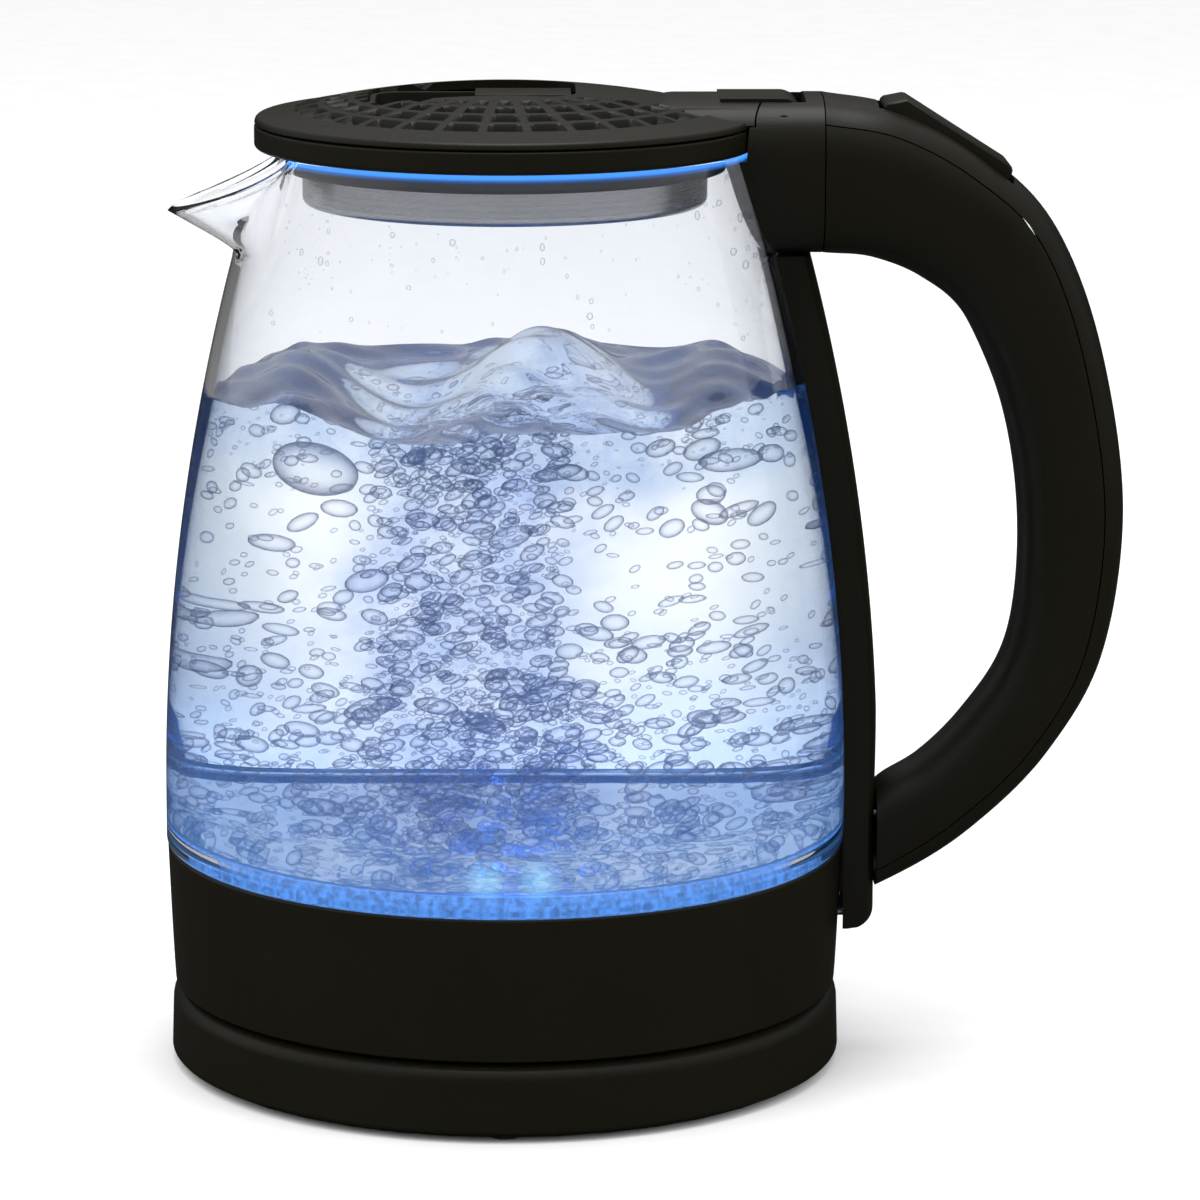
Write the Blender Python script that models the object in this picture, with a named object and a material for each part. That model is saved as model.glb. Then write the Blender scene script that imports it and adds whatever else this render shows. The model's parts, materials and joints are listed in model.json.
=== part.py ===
"""Cordless glass kettle on its power base, built piece by piece.

Everything is laid out round the kettle's own upright axis, with z = 0 on the table, the spout
towards -X and the handle towards +X. The empty "kettle_axis" carries that layout, and stands
where the middle of the kettle's footprint falls on the origin.
"""

import math

import bmesh
import bpy
import numpy as np
from mathutils import Matrix, Vector

MM = 0.001

# Fits
GAP = 0.3 * MM                  # between pieces that touch
FACET_SAG = 0.26 * MM           # the jar's flats lie inside its true circle by less than GAP
RUN = 0.4 * MM                  # round anything that turns or slides
ROUND = 40                      # facets round the big turned pieces
SMALL_ROUND = 16                # facets round pins and contacts
SCREW_ROUND = 10                # facets round screws

# Power base
FOOT_RADIUS = 4.0 * MM
FOOT_INSET = 7.4 * MM           # foot centre, in from the base's edge
FOOT_HEIGHT = 2.4 * MM
FOOT_SHOW = 1.0 * MM            # how far a foot stands out of the plate
BASE_INSET = 1.0 * MM           # base's edge, in from the jar's widest line
BASE_LEAN = 0.6 * MM            # how far the base's side leans in
BASE_ROUND = 3.6 * MM           # round at the top of its side
BASE_EDGE_Z = 2.0 * MM
BASE_EDGE_ROUND = 1.5 * MM      # round at the foot of its side
BASE_TOP_Z = 17.8 * MM
BASE_WALL = 2.2 * MM
BASE_PLATE = 2.6 * MM
BASE_SCREW_INSET = 24.4 * MM
BASE_SCREWS = (30, 150, 270)    # degrees round from the handle
FEET = (0, 90, 180, 270)
INLET_Z = 9.0 * MM
INLET_BORE = 3.2 * MM           # takes a 6 mm flex
BUSH_WALL = 1.1 * MM
BUSH_FLANGE = 0.9 * MM

# Connector: upstand on the base, and the coupler that drops over it
UPSTAND_RADIUS = 13.6 * MM
UPSTAND_HEIGHT = 9.4 * MM       # above the base's top
CONTACT_DEPTH = 10.2 * MM
PIN_RADIUS = 2.1 * MM
LINE_RADIUS = 6.6 * MM
NEUTRAL_RADIUS = 10.6 * MM
BLADE = 0.6 * MM
COUPLER_WALL = 2.8 * MM

# Lower shell and what it holds
LIFT_GAP = 1.2 * MM             # dark gap between the base and the shell
SHELL_WALL = 2.0 * MM
SHELL_TAPER = 1.9 * MM          # shell's foot, in from the jar's widest line
SHELL_LIP = 0.3 * MM            # shell's top edge, in from the same line
SHELL_HEIGHT = 33.9 * MM
SHELF_DROP = 9.7 * MM           # shell's top edge down to the ledge under the seal
SHELF_WIDTH = 9.4 * MM
COVER_PLATE = 2.2 * MM
SCREW_RADIUS = 0.8 * MM
SCREW_HEAD = 1.9 * MM
BOSS_RADIUS = 3.2 * MM
SEAL_WIDTH = 3.4 * MM
PLATE = 1.0 * MM                # heater plate's steel
PLATE_RISE = 3.1 * MM           # heater plate's top above the shell's top edge
SPREADER_INSET = 20.5 * MM
SPREADER = 2.2 * MM
ELEMENT_INSET = 10.0 * MM       # element's ring, in from the spreader's edge
ELEMENT_RADIUS = 3.3 * MM
LED_RADIUS = 1.6 * MM
LED_SPACING = 10.9 * MM
CONTROL_HALF = (22.0 * MM, 17.0 * MM)
CONTROL_HEIGHT = 13.0 * MM

# Glass jar
JAR_RADIUS = 81.4 * MM
JAR_HEIGHT = 169.1 * MM         # glass rim above the shell's top edge
BELLY_RISE = 13.1 * MM          # widest line above the shell's top edge
JAR_POWER = 1.97                # how the side draws in above that line
SHOULDER_RADIUS = 57.0 * MM     # under the collar
JAR_WALL = 2.5 * MM
NECK_STEP = 1.6 * MM            # how far the neck steps in under the collar
NECK_HEIGHT = 2.8 * MM
SPOUT_REACH = 22.3 * MM         # spout's tip out from the shoulder
SPOUT_FALL = 17.9 * MM          # spout's tip below the rim
SPOUT_LENGTH = 26.5 * MM        # spout's root below the rim
SPOUT_HALF_ANGLE = math.radians(30)
SPOUT_LIP = 1.1 * MM

# Collar and lid
COLLAR_WALL = 2.2 * MM
COLLAR_TOP = 2.6 * MM           # above the glass rim
LID_CREST = 8.9 * MM            # above the collar's top
LID_EDGE = 2.8 * MM             # height of the lid's edge where the dome starts
LID_ROUND = 5.8 * MM            # width of the rounded edge
LID_WALL = 2.0 * MM
WELL_LENGTH = 48.5 * MM
WELL_WIDTH = 34.0 * MM
WELL_CENTRE = -7.75 * MM
WELL_DEPTH = 10.0 * MM
WELL_ROUND = 8.0 * MM
TONGUE_LENGTH = 22.5 * MM
TONGUE_WIDTH = 15.0 * MM
TONGUE = 2.4 * MM
TONGUE_RISE = 1.75 * MM          # tongue's top above the tray's rim
PLATEAU_FRONT = 35.0 * MM       # where the lid's raised back starts
PLATEAU_RISE = 0.9 * MM         # its underside above the lid's
TIER_DROP = 11.0 * MM           # depth of the lid's dark upper tier
CUP_DROP = 8.0 * MM             # depth of the steel cup below it
CUP_STEP = 4.0 * MM
STEEL = 0.8 * MM
HINGE_RADIUS = 5.0 * MM
HINGE_PIN = 1.5 * MM
HINGE_WIDTH = 21.4 * MM
HINGE_BACK = 0.7 * MM           # barrel behind the collar
HINGE_BRIDGE = 14.5 * MM        # solid web from the barrel forward into the lid
NOSE = 1.4 * MM                 # bracket's rounded front round the barrel

# Handle
HANDLE_TOP = 6.9 * MM           # above the collar's top
HANDLE_STANDOFF = 65.4 * MM     # outside of the grip from the jar's widest line
HANDLE_WALL = 2.2 * MM
COVER_DEPTH = 5.5 * MM
HEAD_LENGTH = 9.5 * MM          # hinge axis back to the bracket's rear face
FOOT_CENTRE_RISE = 0.7 * MM     # handle foot's centre above the lower shell's top edge
SPINE_DEPTH = 7.8 * MM
SPINE_FOOT_DEPTH = 7.2 * MM
SPINE_WIDTH = 24.0 * MM
SPINE_DROP = 20.3 * MM          # spine's foot below the shell's top edge
SPINE_ROUND = 4.0 * MM
WIRE_RADIUS = 1.6 * MM
WIRE_TURN = 0.168               # share of the standoff at which the wires turn to the spine

# One row for each station down the handle: how far out and how high its middle lies, as
# fractions; thickness, width; the way the section faces; and how square its outline is.
HANDLE_STATIONS = (
    (0.000, 1.000, 36.6, 40.0, 90.0, 3.3),
    (0.245, 0.986, 35.1, 38.5, 80.0, 3.1),
    (0.507, 0.938, 32.2, 34.0, 63.0, 2.9),
    (0.740, 0.856, 30.2, 29.5, 47.0, 2.7),
    (0.918, 0.689, 26.0, 26.5, 16.0, 2.6),
    (1.000, 0.488, 25.0, 26.0, -2.0, 2.6),
    (0.930, 0.291, 23.0, 26.0, -11.0, 2.6),
    (0.684, 0.161, 22.6, 26.0, -24.0, 2.6),
    (0.358, 0.065, 21.4, 25.5, -52.0, 2.8),
    (0.000, 0.000, 24.1, 25.0, -90.0, 3.2),
)
WIDEST_STATION = 5

# Switch rocker, in its own frame: along the handle's slope, and out of it
ROCKER_STATION = 1.6
ROCKER_HALF_WIDTH = 8.6 * MM
ROCKER_HALF_LENGTH = 17.2 * MM
ROCKER_PIVOT_DEPTH = 7.5 * MM
ROCKER_PIN = 1.2 * MM

# What follows from the sizes above
BASE_RADIUS = JAR_RADIUS - BASE_INSET
BASE_SCREW_RING = BASE_RADIUS - BASE_SCREW_INSET
PLATE_Z = FOOT_SHOW
SHELL_Z = BASE_TOP_Z + LIFT_GAP
SHELL_FOOT_RADIUS = JAR_RADIUS - SHELL_TAPER
SHELL_TOP_Z = SHELL_Z + SHELL_HEIGHT
LEDGE_Z = SHELL_TOP_Z - SHELF_DROP
SHELF_Z = LEDGE_Z - 3.2 * MM
SHELF_UNDER_Z = SHELF_Z - SHELL_WALL
SHELL_BORE = JAR_RADIUS - SHELL_WALL          # inside the shell's upper wall
GLASS_FOOT_RADIUS = SHELL_BORE - RUN
GLASS_FOOT_Z = LEDGE_Z + 2.8 * MM
GLASS_BORE = GLASS_FOOT_RADIUS - JAR_WALL
SEAL_RADIUS = GLASS_BORE - GAP
SEAL_BORE = SEAL_RADIUS - SEAL_WIDTH
HEATER_RADIUS = SEAL_BORE - GAP
HEATER_Z = SHELL_TOP_Z + PLATE_RISE
SPREADER_RADIUS = HEATER_RADIUS - SPREADER_INSET
ELEMENT_RING = SPREADER_RADIUS - ELEMENT_INSET
SPREADER_Z = HEATER_Z - PLATE - GAP
ELEMENT_Z = SPREADER_Z - SPREADER - GAP - ELEMENT_RADIUS
BELLY_Z = SHELL_TOP_Z + BELLY_RISE
RIM_Z = SHELL_TOP_Z + JAR_HEIGHT
NECK_RADIUS = SHOULDER_RADIUS - NECK_STEP
NECK_Z = RIM_Z - NECK_HEIGHT
SHOULDER_Z = NECK_Z - 0.8 * MM
SPOUT_TIP_RADIUS = SHOULDER_RADIUS + SPOUT_REACH
SPOUT_TIP_Z = RIM_Z - SPOUT_FALL
SPOUT_ROOT_Z = RIM_Z - SPOUT_LENGTH
COLLAR_RADIUS = SHOULDER_RADIUS - 0.4 * MM + COLLAR_WALL
COLLAR_BORE = NECK_RADIUS - JAR_WALL + 0.1 * MM
COLLAR_TOP_Z = RIM_Z + COLLAR_TOP
LID_Z = COLLAR_TOP_Z + RUN
TIER_RADIUS = COLLAR_BORE - 1.5 * MM
CUP_RADIUS = TIER_RADIUS - CUP_STEP
TIER_Z = LID_Z - TIER_DROP
PLATEAU_Z = LID_Z + PLATEAU_RISE
HINGE_X = COLLAR_RADIUS + HINGE_BACK + HINGE_RADIUS
NOSE_RADIUS = HINGE_RADIUS + NOSE
HANDLE_TOP_Z = COLLAR_TOP_Z + HANDLE_TOP
HINGE_Z = HANDLE_TOP_Z - HINGE_RADIUS - 0.1 * MM
HEAD_X = HINGE_X + HEAD_LENGTH
HEAD_THICKNESS = HANDLE_STATIONS[0][2] * MM
HEAD_Z = HANDLE_TOP_Z - HEAD_THICKNESS / 2
HANDLE_REACH = JAR_RADIUS + HANDLE_STANDOFF
SPINE_X = JAR_RADIUS + SPINE_FOOT_DEPTH       # spine's outer face beside the foot
SPINE_BOTTOM_Z = SHELL_TOP_Z - SPINE_DROP
HANDLE_FOOT_Z = SHELL_TOP_Z + FOOT_CENTRE_RISE
AXIS_X = -(HANDLE_REACH - JAR_RADIUS) / 2
UPSTAND_Z = BASE_TOP_Z + UPSTAND_HEIGHT
COUPLER_RADIUS = UPSTAND_RADIUS + RUN + COUPLER_WALL
COUPLER_Z = UPSTAND_Z + RUN + COUPLER_WALL + 1.2 * MM

COLOURS = {
    "black_plastic": ((0.028, 0.027, 0.022), 0.42, 0.0),
    "dark_plastic": ((0.02, 0.02, 0.019), 0.5, 0.0),
    "clear_glass": ((0.82, 0.86, 0.95), 0.03, 0.0),
    "steel": ((0.62, 0.62, 0.64), 0.28, 1.0),
    "aluminium": ((0.7, 0.7, 0.72), 0.4, 1.0),
    "brass": ((0.72, 0.53, 0.22), 0.3, 1.0),
    "rubber": ((0.03, 0.03, 0.03), 0.8, 0.0),
    "silicone": ((0.75, 0.78, 0.85), 0.5, 0.0),
    "light_guide": ((0.25, 0.45, 1.0), 0.25, 0.0),
    "board": ((0.05, 0.22, 0.1), 0.5, 0.0),
    "light": ((0.15, 0.35, 1.0), 0.2, 0.0),
    "wire": ((0.5, 0.05, 0.04), 0.6, 0.0),
}


# ---------------------------------------------------------------- making meshes

def clear_scene():
    for old in list(bpy.data.objects):
        bpy.data.objects.remove(old, do_unlink=True)


def material(name):
    found = bpy.data.materials.get(name)
    if found:
        return found
    colour, roughness, metallic = COLOURS[name]
    made = bpy.data.materials.new(name)
    made.use_nodes = True
    shader = made.node_tree.nodes["Principled BSDF"]
    shader.inputs["Base Color"].default_value = (*colour, 1.0)
    shader.inputs["Roughness"].default_value = roughness
    shader.inputs["Metallic"].default_value = metallic
    return made


def empty(name, place, parent=None, turn=0.0):
    """An empty at a place in the kettle's layout, turned about Y."""
    axis = bpy.data.objects.new(name, None)
    bpy.context.collection.objects.link(axis)
    axis.location = place
    axis.rotation_euler = (0.0, turn, 0.0)
    axis.parent = parent
    return axis


def finish(name, bm, finish_name, parent, smooth=True):
    """Turns a bmesh laid out round the kettle's axis into an object hung on an empty."""
    bmesh.ops.remove_doubles(bm, verts=bm.verts, dist=1e-6)
    bmesh.ops.recalc_face_normals(bm, faces=bm.faces)
    mesh = bpy.data.meshes.new(name)
    bm.to_mesh(mesh)
    bm.free()
    piece = bpy.data.objects.new(name, mesh)
    bpy.context.collection.objects.link(piece)
    mesh.materials.append(material(finish_name))
    hang(piece, parent)
    if smooth:
        mesh.shade_smooth()
        mesh.set_sharp_from_angle(angle=math.radians(35))
    return piece


def hang(piece, parent):
    """Parents a piece, keeping its mesh in the layout's coordinates."""
    piece.parent = parent
    if parent and parent.parent and not parent.get("own_frame"):
        piece.location = -Vector(parent.location)


def turned(name, outline, finish_name, parent, steps=ROUND):
    """A solid of revolution. The outline is (radius, z); one that starts and ends on the
    axis is left open, and any other is closed into a ring."""
    bm = bmesh.new()
    ring = [bm.verts.new((r, 0.0, z)) for r, z in outline]
    pairs = list(zip(ring, ring[1:]))
    if outline[0][0] > 1e-9:
        pairs.append((ring[-1], ring[0]))
    edges = [bm.edges.new(pair) for pair in pairs]
    bmesh.ops.spin(bm, geom=ring + edges, cent=(0, 0, 0), axis=(0, 0, 1),
                   angle=2 * math.pi, steps=steps, use_merge=True)
    return finish(name, bm, finish_name, parent)


def lofted(name, sections, finish_name, parent, smooth=True):
    """A solid through a row of closed sections that have the same number of points."""
    bm = bmesh.new()
    rings = [[bm.verts.new(point) for point in section] for section in sections]
    count = len(rings[0])
    for low, high in zip(rings, rings[1:]):
        for k in range(count):
            j = (k + 1) % count
            bm.faces.new((low[k], low[j], high[j], high[k]))
    bm.faces.new(rings[0])
    bm.faces.new(rings[-1])
    return finish(name, bm, finish_name, parent, smooth)


def extruded(name, outline, half_width, finish_name, parent, middle=0.0):
    """A flat (x, z) outline carried along Y."""
    sides = (middle - half_width, middle + half_width)
    sections = [[(x, y, z) for x, z in outline] for y in sides]
    return lofted(name, sections, finish_name, parent, smooth=False)


def block(name, low, high, finish_name, parent):
    outline = ((low[0], low[2]), (high[0], low[2]), (high[0], high[2]), (low[0], high[2]))
    half = (high[1] - low[1]) / 2
    return extruded(name, outline, half, finish_name, parent, middle=(high[1] + low[1]) / 2)


def rod(name, start, end, radius, finish_name, parent, steps=SMALL_ROUND):
    """A round bar between two points."""
    start, end = Vector(start), Vector(end)
    bm = bmesh.new()
    place = Matrix.Translation((start + end) / 2)
    place @= (end - start).to_track_quat("Z", "Y").to_matrix().to_4x4()
    bmesh.ops.create_cone(bm, cap_ends=True, segments=steps, radius1=radius,
                          radius2=radius, depth=(end - start).length, matrix=place)
    return finish(name, bm, finish_name, parent)


def screw(name, head, tip, parent):
    """A headed screw: the head lies at its own point and the shank runs to the tip."""
    head, tip = Vector(head), Vector(tip)
    length = (tip - head).length
    sunk = 1.6 * MM
    outline = ((0.0, 0.0), (SCREW_HEAD * 0.8, 0.0), (SCREW_HEAD, sunk * 0.3),
               (SCREW_HEAD, sunk), (SCREW_RADIUS, sunk), (SCREW_RADIUS, length - sunk),
               (0.0, length))
    piece = turned(name, outline, "steel", None, steps=SCREW_ROUND)
    turn = (tip - head).to_track_quat("Z", "Y").to_matrix().to_4x4()
    piece.data.transform(Matrix.Translation(head) @ turn)
    hang(piece, parent)
    return piece


def screw_hole(target, head, tip, bore=SCREW_RADIUS + GAP, parent=None):
    """Room for a screw's shank and its head, the head open to the side it goes in from."""
    head, tip = Vector(head), Vector(tip)
    way = (tip - head).normalized()
    cut(target, rod("bore_tool", head - way * 3 * MM, tip + way * MM, bore, "steel", parent, 12))
    cut(target, rod("head_tool", head - way * 12 * MM, head + way * (1.6 * MM + GAP),
                    SCREW_HEAD + GAP, "steel", parent, 12))


def tube(name, points, radius, finish_name, parent, steps=8):
    """A round wire or tube swept along points, with flat ends."""
    points = [Vector(p) for p in points]
    sections = []
    for k, here in enumerate(points):
        way = points[min(k + 1, len(points) - 1)] - points[max(k - 1, 0)]
        side = Vector((0, 1, 0)) if abs(way.normalized().y) < 0.9 else Vector((0, 0, 1))
        across = way.cross(side).normalized()
        up = across.cross(way).normalized()
        angles = [2 * math.pi * j / steps for j in range(steps)]
        sections.append([here + radius * (math.cos(a) * across + math.sin(a) * up)
                         for a in angles])
    return lofted(name, sections, finish_name, parent)


def tool(piece):
    piece.hide_render = True
    piece.display_type = "WIRE"
    return piece


def boolean(target, other, operation):
    change = target.modifiers.new(f"{operation.lower()}_{len(target.modifiers)}", "BOOLEAN")
    change.operation = operation
    change.solver = "EXACT"
    change.object = tool(other)


def cut(target, other):
    boolean(target, other, "DIFFERENCE")


def join(target, other):
    boolean(target, other, "UNION")


def bevel(target, width, segments=2):
    edge = target.modifiers.new("rounded_edges", "BEVEL")
    edge.width = width
    edge.segments = segments
    edge.limit_method = "ANGLE"
    edge.angle_limit = math.radians(40)


def around(radius, degrees, z):
    angle = math.radians(degrees)
    return (radius * math.cos(angle), radius * math.sin(angle), z)


def arc(centre, radius, start, end, count):
    """Points on an arc in the (x, z) plane, angles in degrees from +X towards +Z."""
    angles = np.radians(np.linspace(start, end, count))
    return [(centre[0] + radius * math.cos(a), centre[1] + radius * math.sin(a))
            for a in angles]


# ---------------------------------------------------------------- power base

def base_outer(z):
    """The base's side leans in a little towards its top."""
    return BASE_RADIUS - BASE_LEAN * (z - BASE_EDGE_Z) / (BASE_TOP_Z - BASE_EDGE_Z)


def base_shell(parent):
    edge, foot = BASE_ROUND, BASE_EDGE_ROUND
    top = BASE_TOP_Z
    side = base_outer(top - edge)
    collar = UPSTAND_RADIUS + GAP
    rounded = arc((side - edge, top - edge), edge, 90, 0, 4)
    outline = [(collar, top), *rounded,
               *arc((BASE_RADIUS - foot, BASE_EDGE_Z + foot), foot, 0, -90, 3),
               (BASE_RADIUS - BASE_WALL, BASE_EDGE_Z),
               (side - BASE_WALL, top - edge), (side - edge, top - BASE_WALL),
               (collar, top - BASE_WALL)]
    shell = turned("base_top_shell", outline, "black_plastic", parent)
    for degrees in BASE_SCREWS:
        low = around(BASE_SCREW_RING, degrees, PLATE_Z + BASE_PLATE + GAP)
        high = around(BASE_SCREW_RING, degrees, top - BASE_WALL / 2)
        join(shell, rod("base_boss", low, high, BOSS_RADIUS, "black_plastic", parent, 16))
        tip = around(BASE_SCREW_RING, degrees, top - 2 * BASE_WALL)
        cut(shell, rod("base_boss_bore", (low[0], low[1], low[2] - MM), tip,
                       SCREW_RADIUS + GAP, "steel", parent, 12))
    wall = (0.0, BASE_RADIUS + 5 * MM, INLET_Z)
    inside = (0.0, BASE_RADIUS - 10 * MM, INLET_Z)
    cut(shell, rod("inlet_hole", inside, wall, INLET_BORE + BUSH_WALL + GAP, "steel", parent))


def base_plate(parent):
    radius = BASE_RADIUS - BASE_WALL - GAP
    outline = ((0.0, PLATE_Z + BASE_PLATE), (radius, PLATE_Z + BASE_PLATE),
               (radius, PLATE_Z), (0.0, PLATE_Z))
    plate = turned("base_bottom_plate", outline, "black_plastic", parent)
    for degrees in FEET:
        low = around(BASE_RADIUS - FOOT_INSET, degrees, PLATE_Z - MM)
        high = around(BASE_RADIUS - FOOT_INSET, degrees, FOOT_HEIGHT + GAP)
        cut(plate, rod("foot_pocket", low, high, FOOT_RADIUS + GAP, "steel", parent, 20))
    for number, degrees in enumerate(BASE_SCREWS, 1):
        head = around(BASE_SCREW_RING, degrees, PLATE_Z + 0.2 * MM)
        tip = around(BASE_SCREW_RING, degrees, BASE_TOP_Z - 3 * BASE_WALL)
        screw_hole(plate, head, tip, parent=parent)
        screw(f"base_screw_{number}", head, tip, parent)


def feet(parent):
    for number, degrees in enumerate(FEET, 1):
        x, y, _ = around(BASE_RADIUS - FOOT_INSET, degrees, 0.0)
        outline = ((0.0, FOOT_HEIGHT), (FOOT_RADIUS, FOOT_HEIGHT),
                   (FOOT_RADIUS, 0.5 * MM), (FOOT_RADIUS - 0.5 * MM, 0.0), (0.0, 0.0))
        foot = turned(f"foot_{number}", outline, "rubber", None, steps=SMALL_ROUND)
        foot.data.transform(Matrix.Translation((x, y, 0.0)))
        hang(foot, parent)


def connector(parent):
    """Upstand with a centre socket for the earth pin and two round slots."""
    low = BASE_TOP_Z - BASE_WALL - GAP - 3 * MM
    flange = BASE_TOP_Z - BASE_WALL - GAP
    floor = UPSTAND_Z - CONTACT_DEPTH - 1.4 * MM
    socket = PIN_RADIUS + 1.3 * MM
    half = BLADE / 2
    line_in, line_out = LINE_RADIUS - half - RUN, LINE_RADIUS + half + 1.1 * MM
    neutral_in, neutral_out = NEUTRAL_RADIUS - half - RUN, NEUTRAL_RADIUS + half + 1.1 * MM
    outline = [(0.0, floor), (socket, floor), (socket, UPSTAND_Z),
               (line_in, UPSTAND_Z), (line_in, floor), (line_out, floor),
               (line_out, UPSTAND_Z), (neutral_in, UPSTAND_Z), (neutral_in, floor),
               (neutral_out, floor), (neutral_out, UPSTAND_Z),
               (UPSTAND_RADIUS - 0.8 * MM, UPSTAND_Z),
               (UPSTAND_RADIUS, UPSTAND_Z - 0.8 * MM), (UPSTAND_RADIUS, flange),
               (UPSTAND_RADIUS + 6 * MM, flange), (UPSTAND_RADIUS + 6 * MM, low),
               (0.0, low)]
    turned("base_connector", outline, "dark_plastic", parent, steps=24)
    spring = 0.5 * MM
    for name, inner in (("base_earth_contact", PIN_RADIUS + GAP),
                        ("base_line_contact", LINE_RADIUS + half + GAP),
                        ("base_neutral_contact", NEUTRAL_RADIUS + half + GAP)):
        low_z, high_z = floor + GAP, UPSTAND_Z - 2 * MM
        ring = ((inner + spring, high_z), (inner + spring, low_z), (inner, low_z),
                (inner, high_z))
        turned(name, ring, "brass", parent, steps=24)


def cord_inlet(parent):
    """Bush in the back wall of the base, where a supply cord goes in."""
    wall_out, wall_in = base_outer(INLET_Z), base_outer(INLET_Z) - BASE_WALL
    barrel = INLET_BORE + BUSH_WALL
    flange = barrel + BUSH_FLANGE
    outer, inner = wall_out - wall_in + 2 * GAP, -2 * GAP
    lip = JAR_RADIUS - wall_in - 0.1 * MM
    outline = ((INLET_BORE, lip), (flange - 0.3 * MM, lip), (flange, outer),
               (barrel, outer), (barrel, inner), (flange, inner),
               (flange, inner - 1.5 * MM), (INLET_BORE, inner - 1.5 * MM))
    bush = turned("cord_inlet_bush", outline, "rubber", None, steps=SMALL_ROUND)
    turn = Matrix.Rotation(-math.pi / 2, 4, "X")
    bush.data.transform(Matrix.Translation((0.0, wall_in, INLET_Z)) @ turn)
    hang(bush, parent)


def coupler(parent):
    """Kettle's half of the connector, a cap with a pin and two round blades under it."""
    roof = UPSTAND_Z + RUN
    low = BASE_TOP_Z + RUN
    bore = UPSTAND_RADIUS + RUN
    outline = ((0.0, COUPLER_Z), (COUPLER_RADIUS, COUPLER_Z), (COUPLER_RADIUS, low),
               (bore, low), (bore, roof), (0.0, roof))
    turned("coupler_body", outline, "dark_plastic", parent, steps=24)
    tip = UPSTAND_Z - CONTACT_DEPTH
    pin = ((0.0, roof - GAP), (PIN_RADIUS, roof - GAP), (PIN_RADIUS, tip + 1.2 * MM),
           (PIN_RADIUS - 1.2 * MM, tip), (0.0, tip))
    turned("coupler_earth_pin", pin, "brass", parent, steps=SMALL_ROUND)
    for name, middle in (("coupler_line_ring", LINE_RADIUS),
                         ("coupler_neutral_ring", NEUTRAL_RADIUS)):
        inner, outer = middle - BLADE / 2, middle + BLADE / 2
        ring = ((outer, roof - GAP), (outer, tip), (inner, tip), (inner, roof - GAP))
        turned(name, ring, "brass", parent, steps=24)


# ---------------------------------------------------------------- lower shell and heater

def shell_outer(z):
    """Outside of the lower shell: it widens evenly from its foot to the jar's shoulder."""
    share = (z - SHELL_Z) / (SHELL_TOP_Z - SHELL_Z)
    return SHELL_FOOT_RADIUS + (SHELL_TAPER - SHELL_LIP) * share ** 0.8


def lower_shell(parent, wire_tool, spine_screws):
    heights = np.linspace(SHELL_TOP_Z - MM, SHELL_Z + MM, 4)
    foot_bore = SHELL_FOOT_RADIUS - SHELL_WALL
    outline = [(SHELL_BORE, SHELL_TOP_Z), (shell_outer(SHELL_TOP_Z) - 0.5 * MM, SHELL_TOP_Z),
               *[(shell_outer(z), z) for z in heights], (SHELL_FOOT_RADIUS - 0.6 * MM, SHELL_Z),
               (foot_bore, SHELL_Z), (foot_bore, SHELF_UNDER_Z),
               (SHELL_BORE - SHELF_WIDTH, SHELF_UNDER_Z), (SHELL_BORE - SHELF_WIDTH, SHELF_Z),
               (SHELL_BORE - 2.4 * MM, SHELF_Z), (SHELL_BORE - 2.4 * MM, LEDGE_Z),
               (SHELL_BORE, LEDGE_Z)]
    shell = turned("lower_shell", outline, "black_plastic", parent)
    cover_top = SHELL_Z + MM + COVER_PLATE
    ring = foot_bore - BOSS_RADIUS - 1.2 * MM
    for number, degrees in enumerate((90, 210, 330), 1):
        low = around(ring, degrees, cover_top + GAP)
        high = around(ring, degrees, SHELF_UNDER_Z + MM)
        join(shell, rod("shell_boss", low, high, BOSS_RADIUS, "steel", parent, 16))
        head = around(ring, degrees, SHELL_Z + 1.1 * MM)
        tip = around(ring, degrees, SHELF_UNDER_Z - 2 * MM)
        cut(shell, rod("shell_boss_bore", (head[0], head[1], cover_top - MM),
                       (tip[0], tip[1], tip[2] + MM), SCREW_RADIUS + GAP, "steel", parent, 12))
        screw(f"bottom_screw_{number}", head, tip, parent)
    cut(shell, wire_tool)
    for head, tip in spine_screws:
        cut(shell, rod("shell_side_hole", head - Vector((4 * MM, 0, 0)), tip,
                       SCREW_RADIUS + GAP, "steel", parent, 12))
    bottom_cover(parent, ring, foot_bore)


def bottom_cover(parent, ring, foot_bore):
    low = SHELL_Z + MM
    high = low + COVER_PLATE
    well = COUPLER_RADIUS + RUN
    outline = ((foot_bore - GAP, high), (foot_bore - GAP, low), (well, low), (well, high))
    cover = turned("bottom_cover", outline, "dark_plastic", parent)
    for degrees in (90, 210, 330):
        head = around(ring, degrees, low + 0.1 * MM)
        tip = around(ring, degrees, high + 4 * MM)
        screw_hole(cover, head, tip, parent=parent)


def seal_and_ring(parent):
    """Silicone seal under the glass, and the ribbed light ring that stands on it."""
    low, high = LEDGE_Z + GAP, GLASS_FOOT_Z + 2.8 * MM
    outline = ((SEAL_RADIUS, high), (SEAL_RADIUS, GLASS_FOOT_Z - GAP),
               (GLASS_FOOT_RADIUS, GLASS_FOOT_Z - GAP), (GLASS_FOOT_RADIUS, low),
               (SEAL_BORE, low), (SEAL_BORE, high))
    turned("jar_seal", outline, "silicone", parent)
    top = HEATER_Z + 1.5 * MM
    ring = ((SEAL_RADIUS, top), (SEAL_RADIUS, high + GAP), (SEAL_BORE, high + GAP),
            (SEAL_BORE, top - 0.8 * MM), (SEAL_BORE + 0.8 * MM, top))
    turned("light_ring", ring, "light_guide", parent)


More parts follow.
